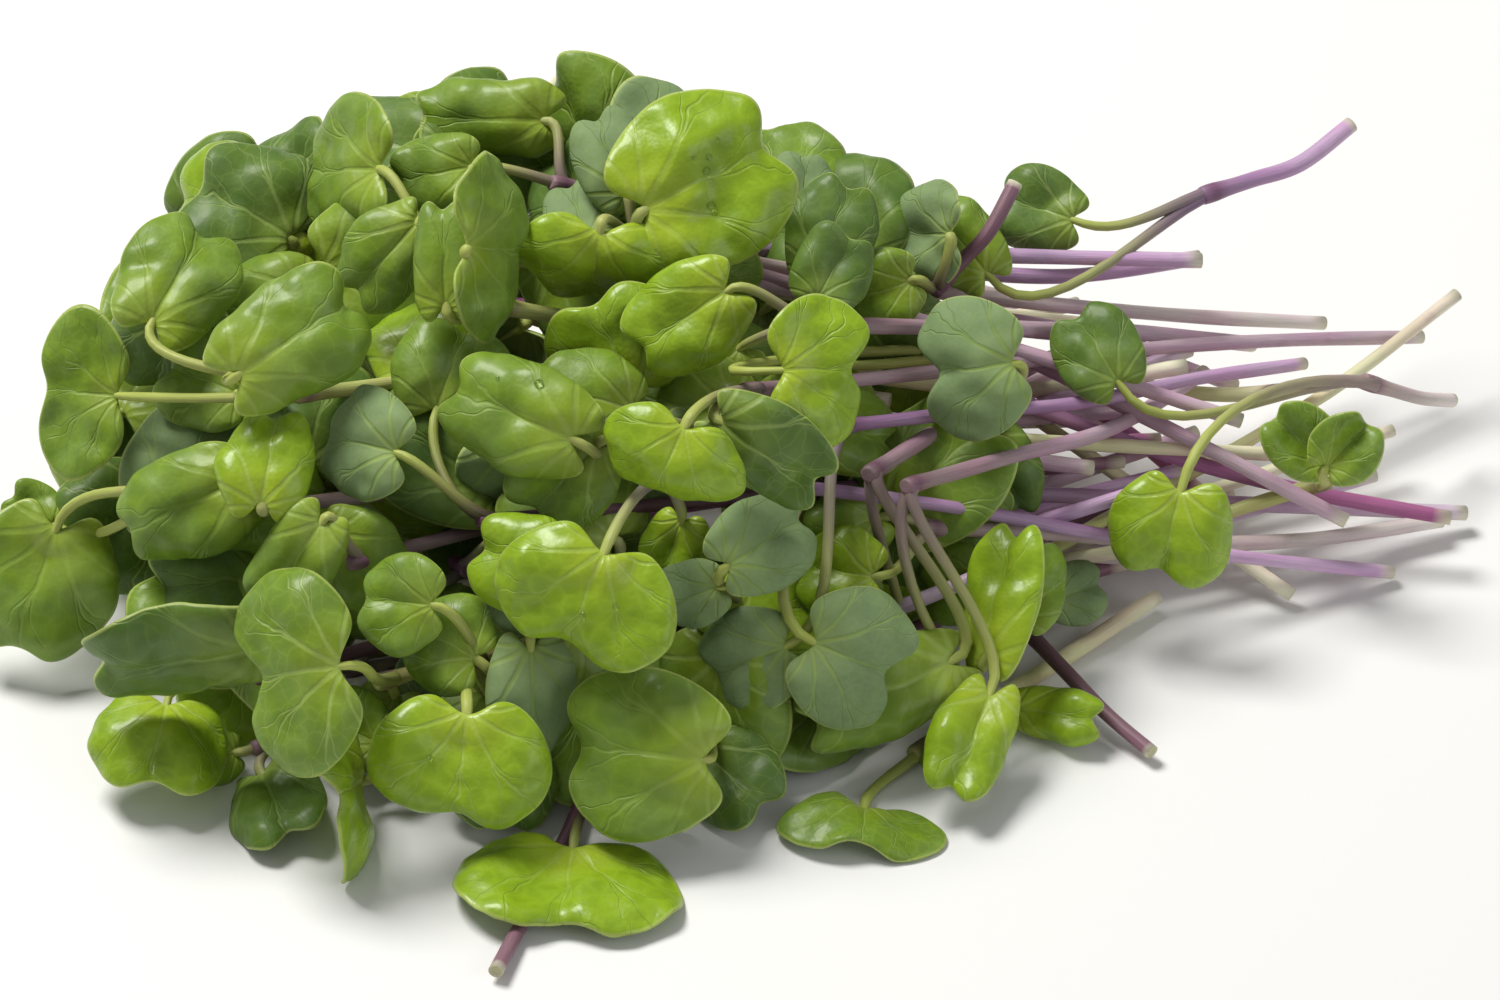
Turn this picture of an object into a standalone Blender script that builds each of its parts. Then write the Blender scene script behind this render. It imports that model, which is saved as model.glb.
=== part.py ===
"""A handful of cut radish cress lying on its side. Millimetres here, metres in the finished meshes.

The leaves heap up at -X, the cut stems run out at +X, the heap rests on z = 0 and is seen from -Y.
Each sprout grew as one piece, so each is one object: stem, node, two petioles and two seed leaves.
"""

import math
import random

import bmesh
import bpy
import numpy as np
from mathutils import Vector
from mathutils.kdtree import KDTree

MM = 0.001
HEAP_SHIFT = (2.66, 13.8)

# The sprouts are laid out on a picture plane: tenths of a millimetre right of and above its middle.
ELEVATION = math.radians(40)
RIGHT = np.array([1.0, 0.0, 0.0])
UP = np.array([0.0, math.sin(ELEVATION), math.cos(ELEVATION)])
NEAR = np.array([0.0, -math.cos(ELEVATION), math.sin(ELEVATION)])
PLANE_MIDDLE = (750, 500)
PLANE_STEP = 0.1
PLANE_LIFT = 3.4

# The heap of leaves is a half ellipsoid.
HEAP_MIDDLE = -21.0
HEAP_HALF_LENGTH = 54.0
HEAP_RADIUS = 45.0

LEAF_THICK = 0.6
STEM_RADIUS = 0.85
PETIOLE_RADIUS = 0.6
CLEAR_RADIUS = 1.15
STEM_LIMIT = 92.0
HIDDEN_STEM_LIMIT = 42.0
LEAF_GROWTH = 1.12
SETTLE_ROUNDS = 700
SEED = 11
SPROUT_COUNT = 51
TRIES = 16
# Where a petiole is jointed, from node to leaf; its last piece is sunk into the leaf.
PETIOLE_KNOTS = (0.0, 0.5, 1.0, 1.0)
LONG_KNOTS = (0.0, 0.35, 0.7, 1.0, 1.0)
PLAIN_KNOTS = (0.0, 1.0, 1.0)


def plane_point(px, py, near):
    """A place on the picture plane, moved towards the viewer."""
    x = (px - PLANE_MIDDLE[0]) * PLANE_STEP
    v = (PLANE_MIDDLE[1] - py) * PLANE_STEP + PLANE_LIFT
    return RIGHT * x + UP * v + NEAR * near


def at_height(px, py, z):
    """The point seen at a place on the picture plane that is z above the table."""
    flat = plane_point(px, py, 0.0)
    return flat + NEAR * ((z - flat[2]) / NEAR[2])


def on_heap(px, py, sink):
    """The point seen at a place on the picture plane, sink deep in the heap of leaves."""
    x = (px - PLANE_MIDDLE[0]) * PLANE_STEP
    v = (PLANE_MIDDLE[1] - py) * PLANE_STEP + PLANE_LIFT
    across = max(0.05, 1.0 - ((x - HEAP_MIDDLE) / HEAP_HALF_LENGTH) ** 2)
    near = math.sqrt(max(0.0, HEAP_RADIUS ** 2 * across - v * v)) - sink
    point = plane_point(px, py, near)
    if point[2] < 1.4:
        point = at_height(px, py, 1.4)
    return point


def leaf(px, py, tip, length, width, pitch=0, yaw=0, cup=60, curl=25, twist=0, sink=1, notch=0.42):
    """One seed leaf: its foot, the way that its tip points, its size and its bends in degrees."""
    return dict(px=px, py=py, tip=tip, length=length, width=width, pitch=pitch, yaw=yaw, cup=cup,
                curl=curl, twist=twist, sink=sink, notch=notch)


def sprout(node, first, second, end, tone="pale", rank=9, plain=False):
    """One sprout: its node (with sink), its two leaves, its cut end (with height) and its colour."""
    return dict(node=node, leaves=(first, second), end=end, tone=tone, rank=rank, plain=plain)


SPROUTS = [
    # the top left of the heap
    sprout((455, 262, 8), leaf(392, 182, 180, 11, 15, pitch=42, cup=40),
           leaf(437, 240, 228, 10, 9, cup=90, sink=3), (1110, 330, 14)),
    sprout((565, 195, 9), leaf(548, 130, 178, 13, 11, cup=190, curl=20, sink=2),
           leaf(478, 178, 190, 8, 9, cup=60, sink=5), (1000, 300, 16), "mauve"),
    sprout((520, 300, 9), leaf(492, 262, 0, 10, 18, pitch=45, cup=30, curl=40, notch=0.75),
           leaf(465, 302, 92, 10, 8, cup=170, curl=10, sink=2), (1190, 372, 15), "pale"),
    sprout((640, 250, 9), leaf(598, 235, 262, 10, 17, cup=50, curl=110, sink=1),
           leaf(628, 205, 112, 9, 8, cup=80, curl=35, sink=4), (1330, 325, 9), "grey"),
    sprout((655, 262, 10), leaf(660, 210, 28, 14.5, 17, pitch=6, cup=26, curl=16, sink=-1),
           leaf(598, 238, 108, 9, 8, pitch=30, cup=90, sink=5), (1240, 352, 13), "mauve"),
    sprout((800, 312, 1), leaf(724, 284, 214, 10.5, 10.5, cup=50, curl=15, sink=0),
           leaf(752, 340, 222, 8.5, 9, cup=50, sink=5), (1260, 330, 9), "mauve", 4),
    sprout((1040, 322, 1), leaf(806, 279, 62, 7, 9, cup=130, curl=20, sink=1),
           leaf(776, 352, 2, 9, 14.5, cup=40, curl=50, notch=0.75, sink=-1), (1330, 380, 10), "pale", 2),
    sprout((845, 262, 7), leaf(818, 212, 92, 5.5, 7, cup=50, curl=60, sink=3),
           leaf(832, 286, 70, 9.5, 9, cup=50, sink=4), (1200, 257, 20), "violet"),
    # the left end
    sprout((258, 388, 6), leaf(168, 338, 62, 12, 11.5, pitch=15, cup=50, sink=1),
           leaf(262, 398, 34, 14, 13, cup=105, curl=30, sink=0), (1050, 420, 12), "pale"),
    sprout((330, 402, 4), leaf(140, 402, 176, 7.5, 16, pitch=25, cup=-50, curl=-20, sink=0),
           leaf(262, 392, 160, 8, 10, cup=50, sink=7), (1080, 300, 13), "pale", 5),
    sprout((205, 486, 4), leaf(76, 522, 252, 13.5, 15, cup=55, curl=35, sink=-1),
           leaf(70, 518, 145, 5.5, 6, cup=40, sink=2), (1000, 440, 9), "pale", 5),
    sprout((306, 508, 4), leaf(272, 482, 203, 13.5, 11, cup=70, curl=40, sink=1),
           leaf(302, 512, 82, 10, 9.5, cup=80, curl=40, sink=0), (1120, 420, 9), "grey"),
    sprout((372, 548, 6), leaf(332, 500, 236, 10, 8, cup=80, sink=1),
           leaf(340, 512, -42, 10, 9, cup=60, sink=2), (1090, 360, 9), "mauve"),
    sprout((511, 522, 1), leaf(411, 464, 166, 9, 11, pitch=15, cup=50, curl=50, sink=0),
           leaf(457, 408, 72, 9, 11, cup=50, curl=40, sink=4), (1130, 470, 10), "brown", 4),
    sprout((285, 672, 6), leaf(281, 652, 194, 16.5, 13, yaw=48, cup=60, curl=20, sink=0),
           leaf(184, 700, 262, 9.5, 14, pitch=-20, cup=60, curl=40, sink=1), (1010, 500, 6), "brown"),
    sprout((280, 738, 5), leaf(262, 752, 188, 6, 6.5, pitch=-15, cup=110, sink=1),
           leaf(268, 758, 300, 11, 10, pitch=-35, cup=50, sink=2), (900, 560, 5), "mauve"),
    sprout((414, 764, 3), leaf(386, 774, 235, 12, 18, pitch=-20, yaw=40, cup=40, curl=20, sink=0),
           leaf(398, 748, 150, 6.5, 8, cup=50, sink=4), (1020, 560, 4), "pale"),
    # the middle
    sprout((625, 462, 8), leaf(592, 440, 156, 13.5, 11.5, cup=75, curl=35, sink=-1),
           leaf(602, 450, 226, 9.5, 10, cup=60, curl=30, sink=1), (1160, 395, 14), "mauve"),
    sprout((748, 382, 1), leaf(684, 424, 246, 8, 14.5, cup=75, curl=60, sink=-2),
           leaf(716, 432, 322, 12, 10, yaw=-25, cup=70, curl=25, sink=0), (1430, 335, 8), "mauve", 3),
    sprout((672, 470, 1), leaf(620, 530, 247, 10.5, 17.5, pitch=-8, cup=45, curl=35, sink=-2),
           leaf(688, 520, 252, 6, 7, cup=60, sink=2), (1388, 572, 1.2), "violet", 3),
    sprout((615, 632, 8), leaf(594, 610, 158, 12, 10.5, cup=80, curl=30, sink=1),
           leaf(540, 642, 275, 11, 9, cup=40, curl=20, twist=50, sink=0), (1200, 430, 10), "mauve"),
    sprout((508, 662, 7), leaf(498, 650, 150, 7, 10, cup=70, sink=2),
           leaf(442, 598, 176, 7.5, 10, cup=60, curl=40, sink=1), (1140, 500, 6), "brown"),
    sprout((408, 665, 8), leaf(390, 642, 187, 11, 20, cup=55, curl=55, notch=0.75, sink=-1),
           leaf(402, 690, 246, 8, 8.5, pitch=-10, cup=50, sink=6), (1050, 480, 5), "pale"),
    sprout((482, 662, 5), leaf(468, 714, 264, 10.5, 17, pitch=-15, cup=50, curl=45, sink=-1),
           leaf(528, 742, 268, 9, 10, pitch=-25, cup=50, sink=3), (1090, 540, 4), "pale"),
    sprout((712, 718, 5), leaf(684, 738, 174, 13.5, 16.5, pitch=-5, cup=50, curl=32, sink=-1),
           leaf(716, 760, 318, 9.5, 9.5, pitch=-30, cup=40, sink=2), (1120, 560, 3), "brown"),
    sprout((575, 792, 3), leaf(570, 816, 264, 12, 21, pitch=-42, cup=24, curl=8, sink=-2),
           leaf(604, 788, 30, 8, 9, pitch=-10, cup=40, sink=5), (510, 945, 1.3), "brown", 12),
    # the right of the heap
    sprout((760, 600, 5), leaf(738, 576, 32, 9, 9.5, cup=50, curl=40, sink=0),
           leaf(735, 582, 198, 6, 7, cup=50, sink=1), (1180, 450, 11), "violet"),
    sprout((922, 528, 7), leaf(888, 562, 172, 7.5, 9, cup=60, curl=40, sink=2),
           leaf(880, 536, 200, 7, 8, pitch=-10, cup=40, sink=6), (1440, 520, 2.5), "grey"),
    sprout((846, 440, 1), leaf(800, 632, 338, 9.5, 14, cup=40, curl=35, notch=0.75, sink=-1),
           leaf(792, 642, 200, 8.5, 10, cup=40, curl=40, sink=0), (1300, 372, 10), "violet", 2),
    sprout((882, 462, 1), leaf(950, 664, 204, 16, 10, cup=130, curl=25, sink=0),
           leaf(908, 696, 206, 17, 12, cup=50, curl=30, sink=3), (1150, 300, 16), "mauve", 1),
    sprout((894, 452, 2), leaf(972, 668, 246, 11.5, 8, cup=60, curl=20, sink=-1),
           leaf(1000, 676, -8, 8.5, 6, cup=70, curl=10, sink=-2), (1210, 345, 14), "mauve", 0),
    sprout((905, 742, 5), leaf(842, 776, 262, 7, 16, pitch=-30, cup=30, curl=30, sink=1),
           leaf(918, 738, 330, 7, 7, pitch=-35, cup=40, sink=4), (1150, 590, 3), "pale"),
    sprout((1020, 418, 4), leaf(996, 402, 188, 9.5, 14, cup=45, curl=45, notch=0.75, sink=-1),
           leaf(1000, 436, 288, 8.5, 7, cup=40, sink=3), (1445, 518, 6), "magenta"),
    sprout((1355, 383, -1), leaf(1090, 398, 122, 8.5, 9, cup=45, curl=30, sink=-6),
           leaf(1160, 486, 256, 9, 12.5, cup=70, curl=35, sink=-8), (1455, 400, 8), "grey", 0),
    sprout((1200, 210, 0), leaf(1066, 264, 163, 8, 9, cup=50, curl=40, sink=-2),
           leaf(968, 292, 128, 9, 8, cup=60, sink=4), (1355, 122, 28), "violet", 4),
    sprout((930, 300, 8), leaf(938, 246, 176, 7, 11, pitch=40, cup=50, sink=0),
           leaf(905, 300, 200, 7, 8, cup=40, sink=5), (1012, 187, 34), "brown"),
    sprout((1010, 560, 5), leaf(966, 640, 84, 13.5, 9, yaw=35, cup=50, sink=0),
           leaf(985, 560, 190, 7, 8, cup=50, sink=4), (1465, 292, 12), "pale"),
    sprout((1012, 618, 3), leaf(1000, 602, 78, 8, 8, cup=50, sink=1),
           leaf(1046, 594, 18, 5.5, 6.5, cup=40, sink=0), (1140, 745, 1.3), "brown", 3),
    sprout((1322, 486, 0), leaf(1320, 466, 138, 7, 7, cup=-60, curl=-20, sink=-8),
           leaf(1318, 468, 48, 6, 7, cup=-60, curl=-20, sink=-8), (1040, 560, 5), "pale", 6),
]

# Where the stems of the hidden sprouts are cut.
FREE_ENDS = ((605, 55, 38), (65, 457, 2), (1497, 513, 1.5), (1395, 430, 6), (1300, 300, 12),
             (1240, 470, 3), (1280, 500, 8), (1210, 400, 18), (1170, 440, 4), (1350, 455, 4),
             (1230, 545, 2), (1160, 350, 5), (1190, 480, 14), (1260, 415, 12), (1140, 390, 20),
             (1120, 500, 12), (1220, 385, 3), (1310, 440, 9), (1180, 420, 8), (1100, 460, 16),
             (1050, 330, 5), (1080, 520, 18), (1000, 380, 24), (1150, 300, 3), (960, 470, 22),
             (1040, 560, 10), (1010, 300, 20), (930, 420, 26), (1090, 410, 2), (900, 540, 18))


def hidden_sprout(draw, index, end):
    """A sprout under or behind the seen ones, with its two leaves at a drawn place of the heap."""
    behind = index % 4 == 0
    if behind:
        px = 300 + 480 * index / len(FREE_ENDS) + draw.uniform(-40, 40)
        py = draw.uniform(270, 400)
        sink = draw.uniform(24, 46)
    else:
        px = 230 + 640 * ((index * 0.38) % 1.0) + draw.uniform(-50, 50)
        py = 300 + 430 * ((index * 0.62) % 1.0) + draw.uniform(-50, 50)
        sink = draw.uniform(6, 16)
    pair = []
    for side in (-1, 1):
        px_leaf = px + side * draw.uniform(35, 65)
        py_leaf = py + draw.uniform(-40, 40)
        tip = 90 - side * 90 + draw.uniform(-60, 60)
        pair.append(leaf(px_leaf, py_leaf, tip, draw.uniform(8, 13), draw.uniform(10, 16),
                         pitch=draw.uniform(-35, 35) + (100 if behind else 0),
                         yaw=draw.uniform(-30, 30), cup=draw.uniform(25, 60),
                         curl=draw.uniform(15, 40), sink=sink - draw.uniform(0, 2)))
    tone = ("pale", "violet", "magenta", "grey", "mauve", "magenta")[index % 6]
    return sprout((px, py, sink + 4), pair[0], pair[1], end, tone, 14 + index % 5, True)


def leaf_frame(spec):
    """The foot of a leaf and its tip, side and face directions."""
    turn = math.radians(spec["tip"])
    tip = RIGHT * math.cos(turn) + UP * math.sin(turn)
    side = np.cross(tip, NEAR)
    pitch = math.radians(spec["pitch"])
    face = NEAR * math.cos(pitch) + tip * math.sin(pitch)
    tip = tip * math.cos(pitch) - NEAR * math.sin(pitch)
    yaw = math.radians(spec["yaw"])
    leaned = side * math.cos(yaw) + face * math.sin(yaw)
    face = face * math.cos(yaw) - side * math.sin(yaw)
    return on_heap(spec["px"], spec["py"], spec["sink"]), tip, leaned, face


def leaf_points(spec, p, q):
    """Places on a seed leaf, from a square of side 2 drawn out to its notched outline and bent."""
    length = spec["length"] * LEAF_GROWTH
    width = spec["width"] * LEAF_GROWTH
    round_p = p * np.sqrt(1.0 - 0.5 * q * q)
    round_q = q * np.sqrt(1.0 - 0.5 * p * p)
    out = np.hypot(round_p, round_q)
    way = np.arctan2(round_p, round_q)
    middle = 0.5 * length
    reach = np.where(np.cos(way) > 0, length - middle, middle)
    reach = reach * (1.0 - spec["notch"] * np.exp(-(way / 0.32) ** 2))
    shoulder = 1.0 - 0.22 * ((1.0 - np.cos(way)) / 2.0) ** 2
    x = out * np.sin(way) * shoulder * width / 2.0
    y = middle + out * np.cos(way) * reach
    z = 0.02 * width * np.sin(3.0 * way + spec["px"]) * out ** 3 * (1.0 + np.cos(way))
    cup = math.radians(spec["cup"])
    bow = width / cup
    x, z = (bow + z) * np.sin(x / bow), (bow + z) * np.cos(x / bow) - bow
    twist = np.radians(spec["twist"]) * y / length
    x, z = x * np.cos(twist) - z * np.sin(twist), x * np.sin(twist) + z * np.cos(twist)
    curl = math.radians(spec["curl"])
    bow = length / curl
    y, z = (bow + z) * np.sin(y / bow), (bow + z) * np.cos(y / bow) - bow
    foot, tip, side, face = spec["frame"]
    return foot + np.outer(x, side) + np.outer(y, tip) + np.outer(z, face)


def leaf_rows(spec, plain):
    """Small and hidden leaves have fewer facets along their length."""
    return 2 if plain or spec["width"] < 8.2 else 3


def bezier(a, b, c, d, steps):
    t = np.asarray(steps)[:, None]
    return a * (1 - t) ** 3 + b * 3 * t * (1 - t) ** 2 + c * 3 * t * t * (1 - t) + d * t ** 3


def lay_out(plan):
    """Works out every sprout's leaf frames, petiole curves and stem curve before settling."""
    draw = random.Random(SEED + 1)
    grid = np.linspace(-1, 1, 7)
    p, q = [part.ravel() for part in np.meshgrid(grid, grid)]
    for item in plan:
        item["node"] = on_heap(*item["node"])
        end = at_height(*item["end"])
        reach = np.linalg.norm(end - item["node"])
        limit = HIDDEN_STEM_LIMIT if item["plain"] else STEM_LIMIT
        if reach > limit:
            end = item["node"] + (end - item["node"]) * limit / reach
            end[2] = max(end[2], 2.0)
            reach = limit
        run = end - item["node"]
        bow = RIGHT * 0.0 + UP * draw.uniform(-4, 4) + NEAR * draw.uniform(-3, 3)
        dive = 0.08 * reach * (1.0 if item["rank"] > 4 else 0.3)
        curve = (item["node"], item["node"] + run * 0.32 - NEAR * dive, end - run * 0.36 + bow, end)
        count = max(3, int(round(reach / 16.0)))
        item["stem"] = bezier(*curve, np.linspace(0, 1, count + 1))
        item["stem"][:, 2] = np.maximum(item["stem"][:, 2], 1.0)
        ahead = item["stem"][1] - item["node"]
        ahead = -ahead / np.linalg.norm(ahead)
        item["ahead"] = ahead
        for spec in item["leaves"]:
            spec["frame"] = leaf_frame(spec)
            # A leaf that would dip into the table is turned up until it lies on it.
            for _ in range(14):
                if leaf_points(spec, p, q)[:, 2].min() > 0.3:
                    break
                spec["pitch"] -= 5
                spec["frame"] = leaf_frame(spec)
            foot, tip = spec["frame"][:2]
            gap = np.linalg.norm(foot - item["node"])
            root = item["node"] - ahead * 1.2
            curve = (root, item["node"] + ahead * gap * 0.25, foot - tip * gap * 0.35, foot)
            spec["curve"] = curve
            spec["knots"] = PLAIN_KNOTS if item["plain"] else LONG_KNOTS if gap > 14 else PETIOLE_KNOTS
            spec["petiole"] = bezier(*curve, spec["knots"])
            spec["petiole"][-1] += tip * 1.6
            spec["rows"] = leaf_rows(spec, item["plain"])
    return plan


class Samples:
    """Balls that stand for the sprouts while they are bent clear of each other."""

    def __init__(self):
        self.place = []
        self.radius = []
        self.first = []
        self.second = []
        self.share = []
        self.rank = []
        self.sprout = []
        self.body = []

    def add(self, point, radius, first, second, share, rank, index, body):
        self.place.append(point)
        self.radius.append(radius)
        self.first.append(first)
        self.second.append(second)
        self.share.append(share)
        self.rank.append(rank)
        self.sprout.append(index)
        self.body.append(body)


def take_samples(plan):
    """The balls of every sprout, each moved by one or two of the sprout's handles."""
    balls = Samples()
    handles = 0
    for index, item in enumerate(plan):
        count = len(item["stem"])
        item["handle"] = handles
        stem_rank = item["rank"] + index * 0.01
        stem_body = index * 3
        for k in range(count - 1):
            start, stop = item["stem"][k], item["stem"][k + 1]
            parts = max(2, int(np.linalg.norm(stop - start) / 1.5))
            for j in range(parts + (k == count - 2)):
                t = j / parts
                balls.add(start * (1 - t) + stop * t, CLEAR_RADIUS, handles + k, handles + k + 1, t,
                          stem_rank, index, stem_body)
        for which, spec in enumerate(item["leaves"]):
            own = handles + count + which
            for point in facet_points(spec):
                balls.add(point, CLEAR_RADIUS, own, own, 0.0, spec["sink"] + index * 0.01, index,
                          index * 3 + 1 + which)
            knots = spec["knots"]
            for k in range(len(knots) - 1):
                start, stop = spec["petiole"][k], spec["petiole"][k + 1]
                parts = max(1, int(np.linalg.norm(stop - start) / 1.4))
                for j in range(parts):
                    s = j / parts
                    t = knots[k] * (1 - s) + knots[k + 1] * s
                    balls.add(start * (1 - s) + stop * s, CLEAR_RADIUS - 0.15, handles, own, t,
                              min(stem_rank, spec["sink"] + 4), index, stem_body)
        handles += count + 2
    return balls, handles


def facet_points(spec):
    """Places spread over the facets that a leaf is built from."""
    rows = spec["rows"]
    p, q = np.meshgrid(np.linspace(-1, 1, 5), np.linspace(-1, 1, rows + 1))
    corners = leaf_points(spec, p.ravel(), q.ravel()).reshape(rows + 1, 5, 3)
    fine = 3 if rows == 2 or spec["length"] > 12 else 2
    across = np.linspace(0, 4, 13 if spec["width"] > 12.5 else 9)
    along = np.linspace(0, rows, rows * fine + 1)
    found = []
    for v in along:
        j = min(int(v), rows - 1)
        row = corners[j] * (1 - (v - j)) + corners[j + 1] * (v - j)
        for u in across:
            i = min(int(u), 3)
            found.append(row[i] * (1 - (u - i)) + row[i + 1] * (u - i))
    return found


def settle(plan, still, rounds):
    """Bends sprouts clear of each other, of the table and of the still ones, the deeper to the back.

    Returns the balls of the sprouts where they come to rest and how deep the worst two still touch.
    """
    balls, handles = take_samples(plan)
    rest = np.array(balls.place)
    radius = np.array(balls.radius)
    first = np.array(balls.first)
    second = np.array(balls.second)
    share = np.array(balls.share)
    rank = np.array(balls.rank)
    owner = np.array(balls.sprout)
    body = np.array(balls.body)
    leafy = body % 3 > 0
    shift = np.zeros((handles, 3))
    count_here = len(rest)
    sheet = np.append(leafy, still[3])
    radius = np.append(radius, still[1])
    rank = np.append(rank, still[2])
    first = np.append(first, np.full(len(still[1]), handles))
    second = np.append(second, np.full(len(still[1]), handles))
    share = np.append(share, np.zeros(len(still[1])))
    still_tree = KDTree(len(still[0]))
    for i, point in enumerate(still[0]):
        still_tree.insert(point, i + count_here)
    still_tree.balance()

    def placed():
        one = share[:count_here, None]
        moved = shift[first[:count_here]] * (1 - one) + shift[second[:count_here]] * one
        return np.vstack([rest + moved, still[0]])

    worst = 0.0
    pairs = None
    for turn in range(rounds):
        here = placed()
        if turn % 10 == 0:
            tree = KDTree(count_here)
            for i, point in enumerate(here[:count_here]):
                tree.insert(point, i)
            tree.balance()
            found = []
            for i, point in enumerate(here[:count_here]):
                for _, j, _ in tree.find_range(point, 3.6):
                    if j > i and (owner[i] != owner[j] or (leafy[i] and leafy[j] and body[i] != body[j])):
                        found.append((i, j))
                found.extend((i, j) for _, j, _ in still_tree.find_range(point, 3.6))
            pairs = np.array(found, dtype=int).reshape(-1, 2)
        a, b = pairs.T
        away = here[a] - here[b]
        gap = np.linalg.norm(away, axis=1)
        deep = radius[a] + radius[b] - gap
        touch = deep > 0
        a, b, away, gap, deep = a[touch], b[touch], away[touch], gap[touch], deep[touch]
        worst = float(deep.max()) if len(deep) else 0.0
        lean = np.where(sheet[a] | sheet[b], 0.9, 0.1) * np.sign(rank[b] - rank[a])
        way = away / np.maximum(gap, 0.01)[:, None] + lean[:, None] * NEAR
        way /= np.maximum(np.linalg.norm(way, axis=1), 0.01)[:, None]
        push = way * (0.5 * deep + 0.04)[:, None] * np.where(b < count_here, 1.0, 2.0)[:, None]
        move = np.zeros((handles + 1, 3))
        weight = np.zeros(handles + 1)
        for ball, force in ((a, push), (b, -push)):
            for handle, part in ((first[ball], 1 - share[ball]), (second[ball], share[ball])):
                for axis in range(3):
                    move[:, axis] += np.bincount(handle, force[:, axis] * part, handles + 1)
                weight += np.bincount(handle, part, handles + 1)
        shift += 1.2 * (move / np.maximum(weight, 1.0)[:, None])[:handles]
        hold = min(1.0, max(0.02, 2.2 - 3.2 * turn / rounds))
        shift *= 1.0 - 0.012 * hold
        for item in plan:
            start = item["handle"]
            count = len(item["stem"])
            line = shift[start:start + count]
            line[1:-1] += 0.2 * hold * (line[:-2] + line[2:] - 2 * line[1:-1])
            pull = 0.05 * hold * (shift[start + count:start + count + 2] - line[0])
            shift[start + count:start + count + 2] -= pull
            line[0] += pull.mean(axis=0) + 0.1 * hold * (line[1] - line[0])
        under = np.where(leafy, 0.15, STEM_RADIUS - 0.2) - placed()[:count_here, 2]
        lift = np.zeros(handles + 1)
        low = np.flatnonzero(under > 0)
        np.maximum.at(lift, first[low], under[low] * (share[low] < 0.6))
        np.maximum.at(lift, second[low], under[low] * (share[low] > 0.4))
        shift[:, 2] += lift[:handles]
    for item in plan:
        start = item["handle"]
        count = len(item["stem"])
        item["shift"] = shift[start:start + count + 2]
    return (placed()[:count_here], radius[:count_here], rank[:count_here], leafy), worst


def keep(item):
    """Writes the settled bends of a sprout into its stem and leaves."""
    count = len(item["stem"])
    item["stem"] = item["stem"] + item["shift"][:count]
    for which, spec in enumerate(item["leaves"]):
        spec["moved"] = (item["shift"][0], item["shift"][count + which])


def arrange():
    """All sprouts where they come to rest: the seen ones together, then the hidden ones in turn."""
    plan = lay_out(SPROUTS)
    settled, worst = settle(plan, (np.zeros((0, 3)), np.zeros(0), np.zeros(0), np.zeros(0, bool)), SETTLE_ROUNDS)
    for item in plan:
        keep(item)
    draw = random.Random(SEED)
    for index, end in enumerate(FREE_ENDS):
        for _ in range(TRIES):
            cut = (end[0] + draw.uniform(-60, 20), end[1] + draw.uniform(-40, 40), end[2])
            guess = lay_out([hidden_sprout(draw, index, cut)])
            balls, worst = settle(guess, settled, 80)
            if worst < 0.05:
                break
        if worst < 0.05:
            keep(guess[0])
            plan.append(guess[0])
            settled = tuple(np.concatenate(both) for both in zip(settled, balls))
        if len(plan) == SPROUT_COUNT:
            break
    return plan


def petiole_points(spec):
    """The knots of a petiole once its two ends have settled."""
    t = np.asarray(spec["knots"])[:, None]
    return spec["petiole"] + spec["moved"][0] * (1 - t) + spec["moved"][1] * t


def principled(name, color, roughness):
    material = bpy.data.materials.new(name)
    material.use_nodes = True
    shader = material.node_tree.nodes["Principled BSDF"]
    shader.inputs["Base Color"].default_value = (*color, 1.0)
    shader.inputs["Roughness"].default_value = roughness
    return material


def tube(name, points, radii, sides, materials, slot, home):
    """A closed round bar along a line of points."""
    curve = bpy.data.curves.new(name, "CURVE")
    curve.dimensions = "3D"
    curve.bevel_depth = 1.0
    curve.bevel_resolution = (sides - 4) // 2
    curve.use_fill_caps = True
    line = curve.splines.new("POLY")
    line.points.add(len(points) - 1)
    for knot, point, radius in zip(line.points, points, radii):
        knot.co = (*(point * MM), 1.0)
        knot.radius = radius * MM
    holder = bpy.data.objects.new(name, curve)
    home.objects.link(holder)
    bpy.context.view_layer.update()
    mesh = bpy.data.meshes.new_from_object(holder.evaluated_get(bpy.context.evaluated_depsgraph_get()))
    bpy.data.objects.remove(holder)
    bpy.data.curves.remove(curve)
    work = bmesh.new()
    work.from_mesh(mesh)
    bmesh.ops.remove_doubles(work, verts=work.verts, dist=1e-7)
    bmesh.ops.recalc_face_normals(work, faces=work.faces)
    mesh.materials.clear()
    for material in materials:
        mesh.materials.append(material)
    for face in work.faces:
        face.material_index = slot
        face.smooth = True
    work.to_mesh(mesh)
    work.free()
    piece = bpy.data.objects.new(name, mesh)
    home.objects.link(piece)
    return piece


def blade(name, spec, materials, home):
    """A seed leaf as a bent sheet of even thickness, split into the same triangles on both faces."""
    work = bmesh.new()
    bmesh.ops.create_grid(work, x_segments=4, y_segments=spec["rows"], size=1.0)
    corners = np.array([corner.co[:2] for corner in work.verts])
    places = leaf_points(spec, corners[:, 0], corners[:, 1]) + spec["moved"][1]
    for corner, place in zip(work.verts, places):
        corner.co = Vector(place * MM)
    bmesh.ops.triangulate(work, faces=work.faces)
    for face in work.faces:
        face.smooth = True
    mesh = bpy.data.meshes.new(name)
    work.to_mesh(mesh)
    work.free()
    for material in materials:
        mesh.materials.append(material)
    piece = bpy.data.objects.new(name, mesh)
    home.objects.link(piece)
    thick = piece.modifiers.new("Thickness", "SOLIDIFY")
    thick.thickness = LEAF_THICK * MM
    thick.offset = 0.0
    bake(piece)
    return piece


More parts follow.
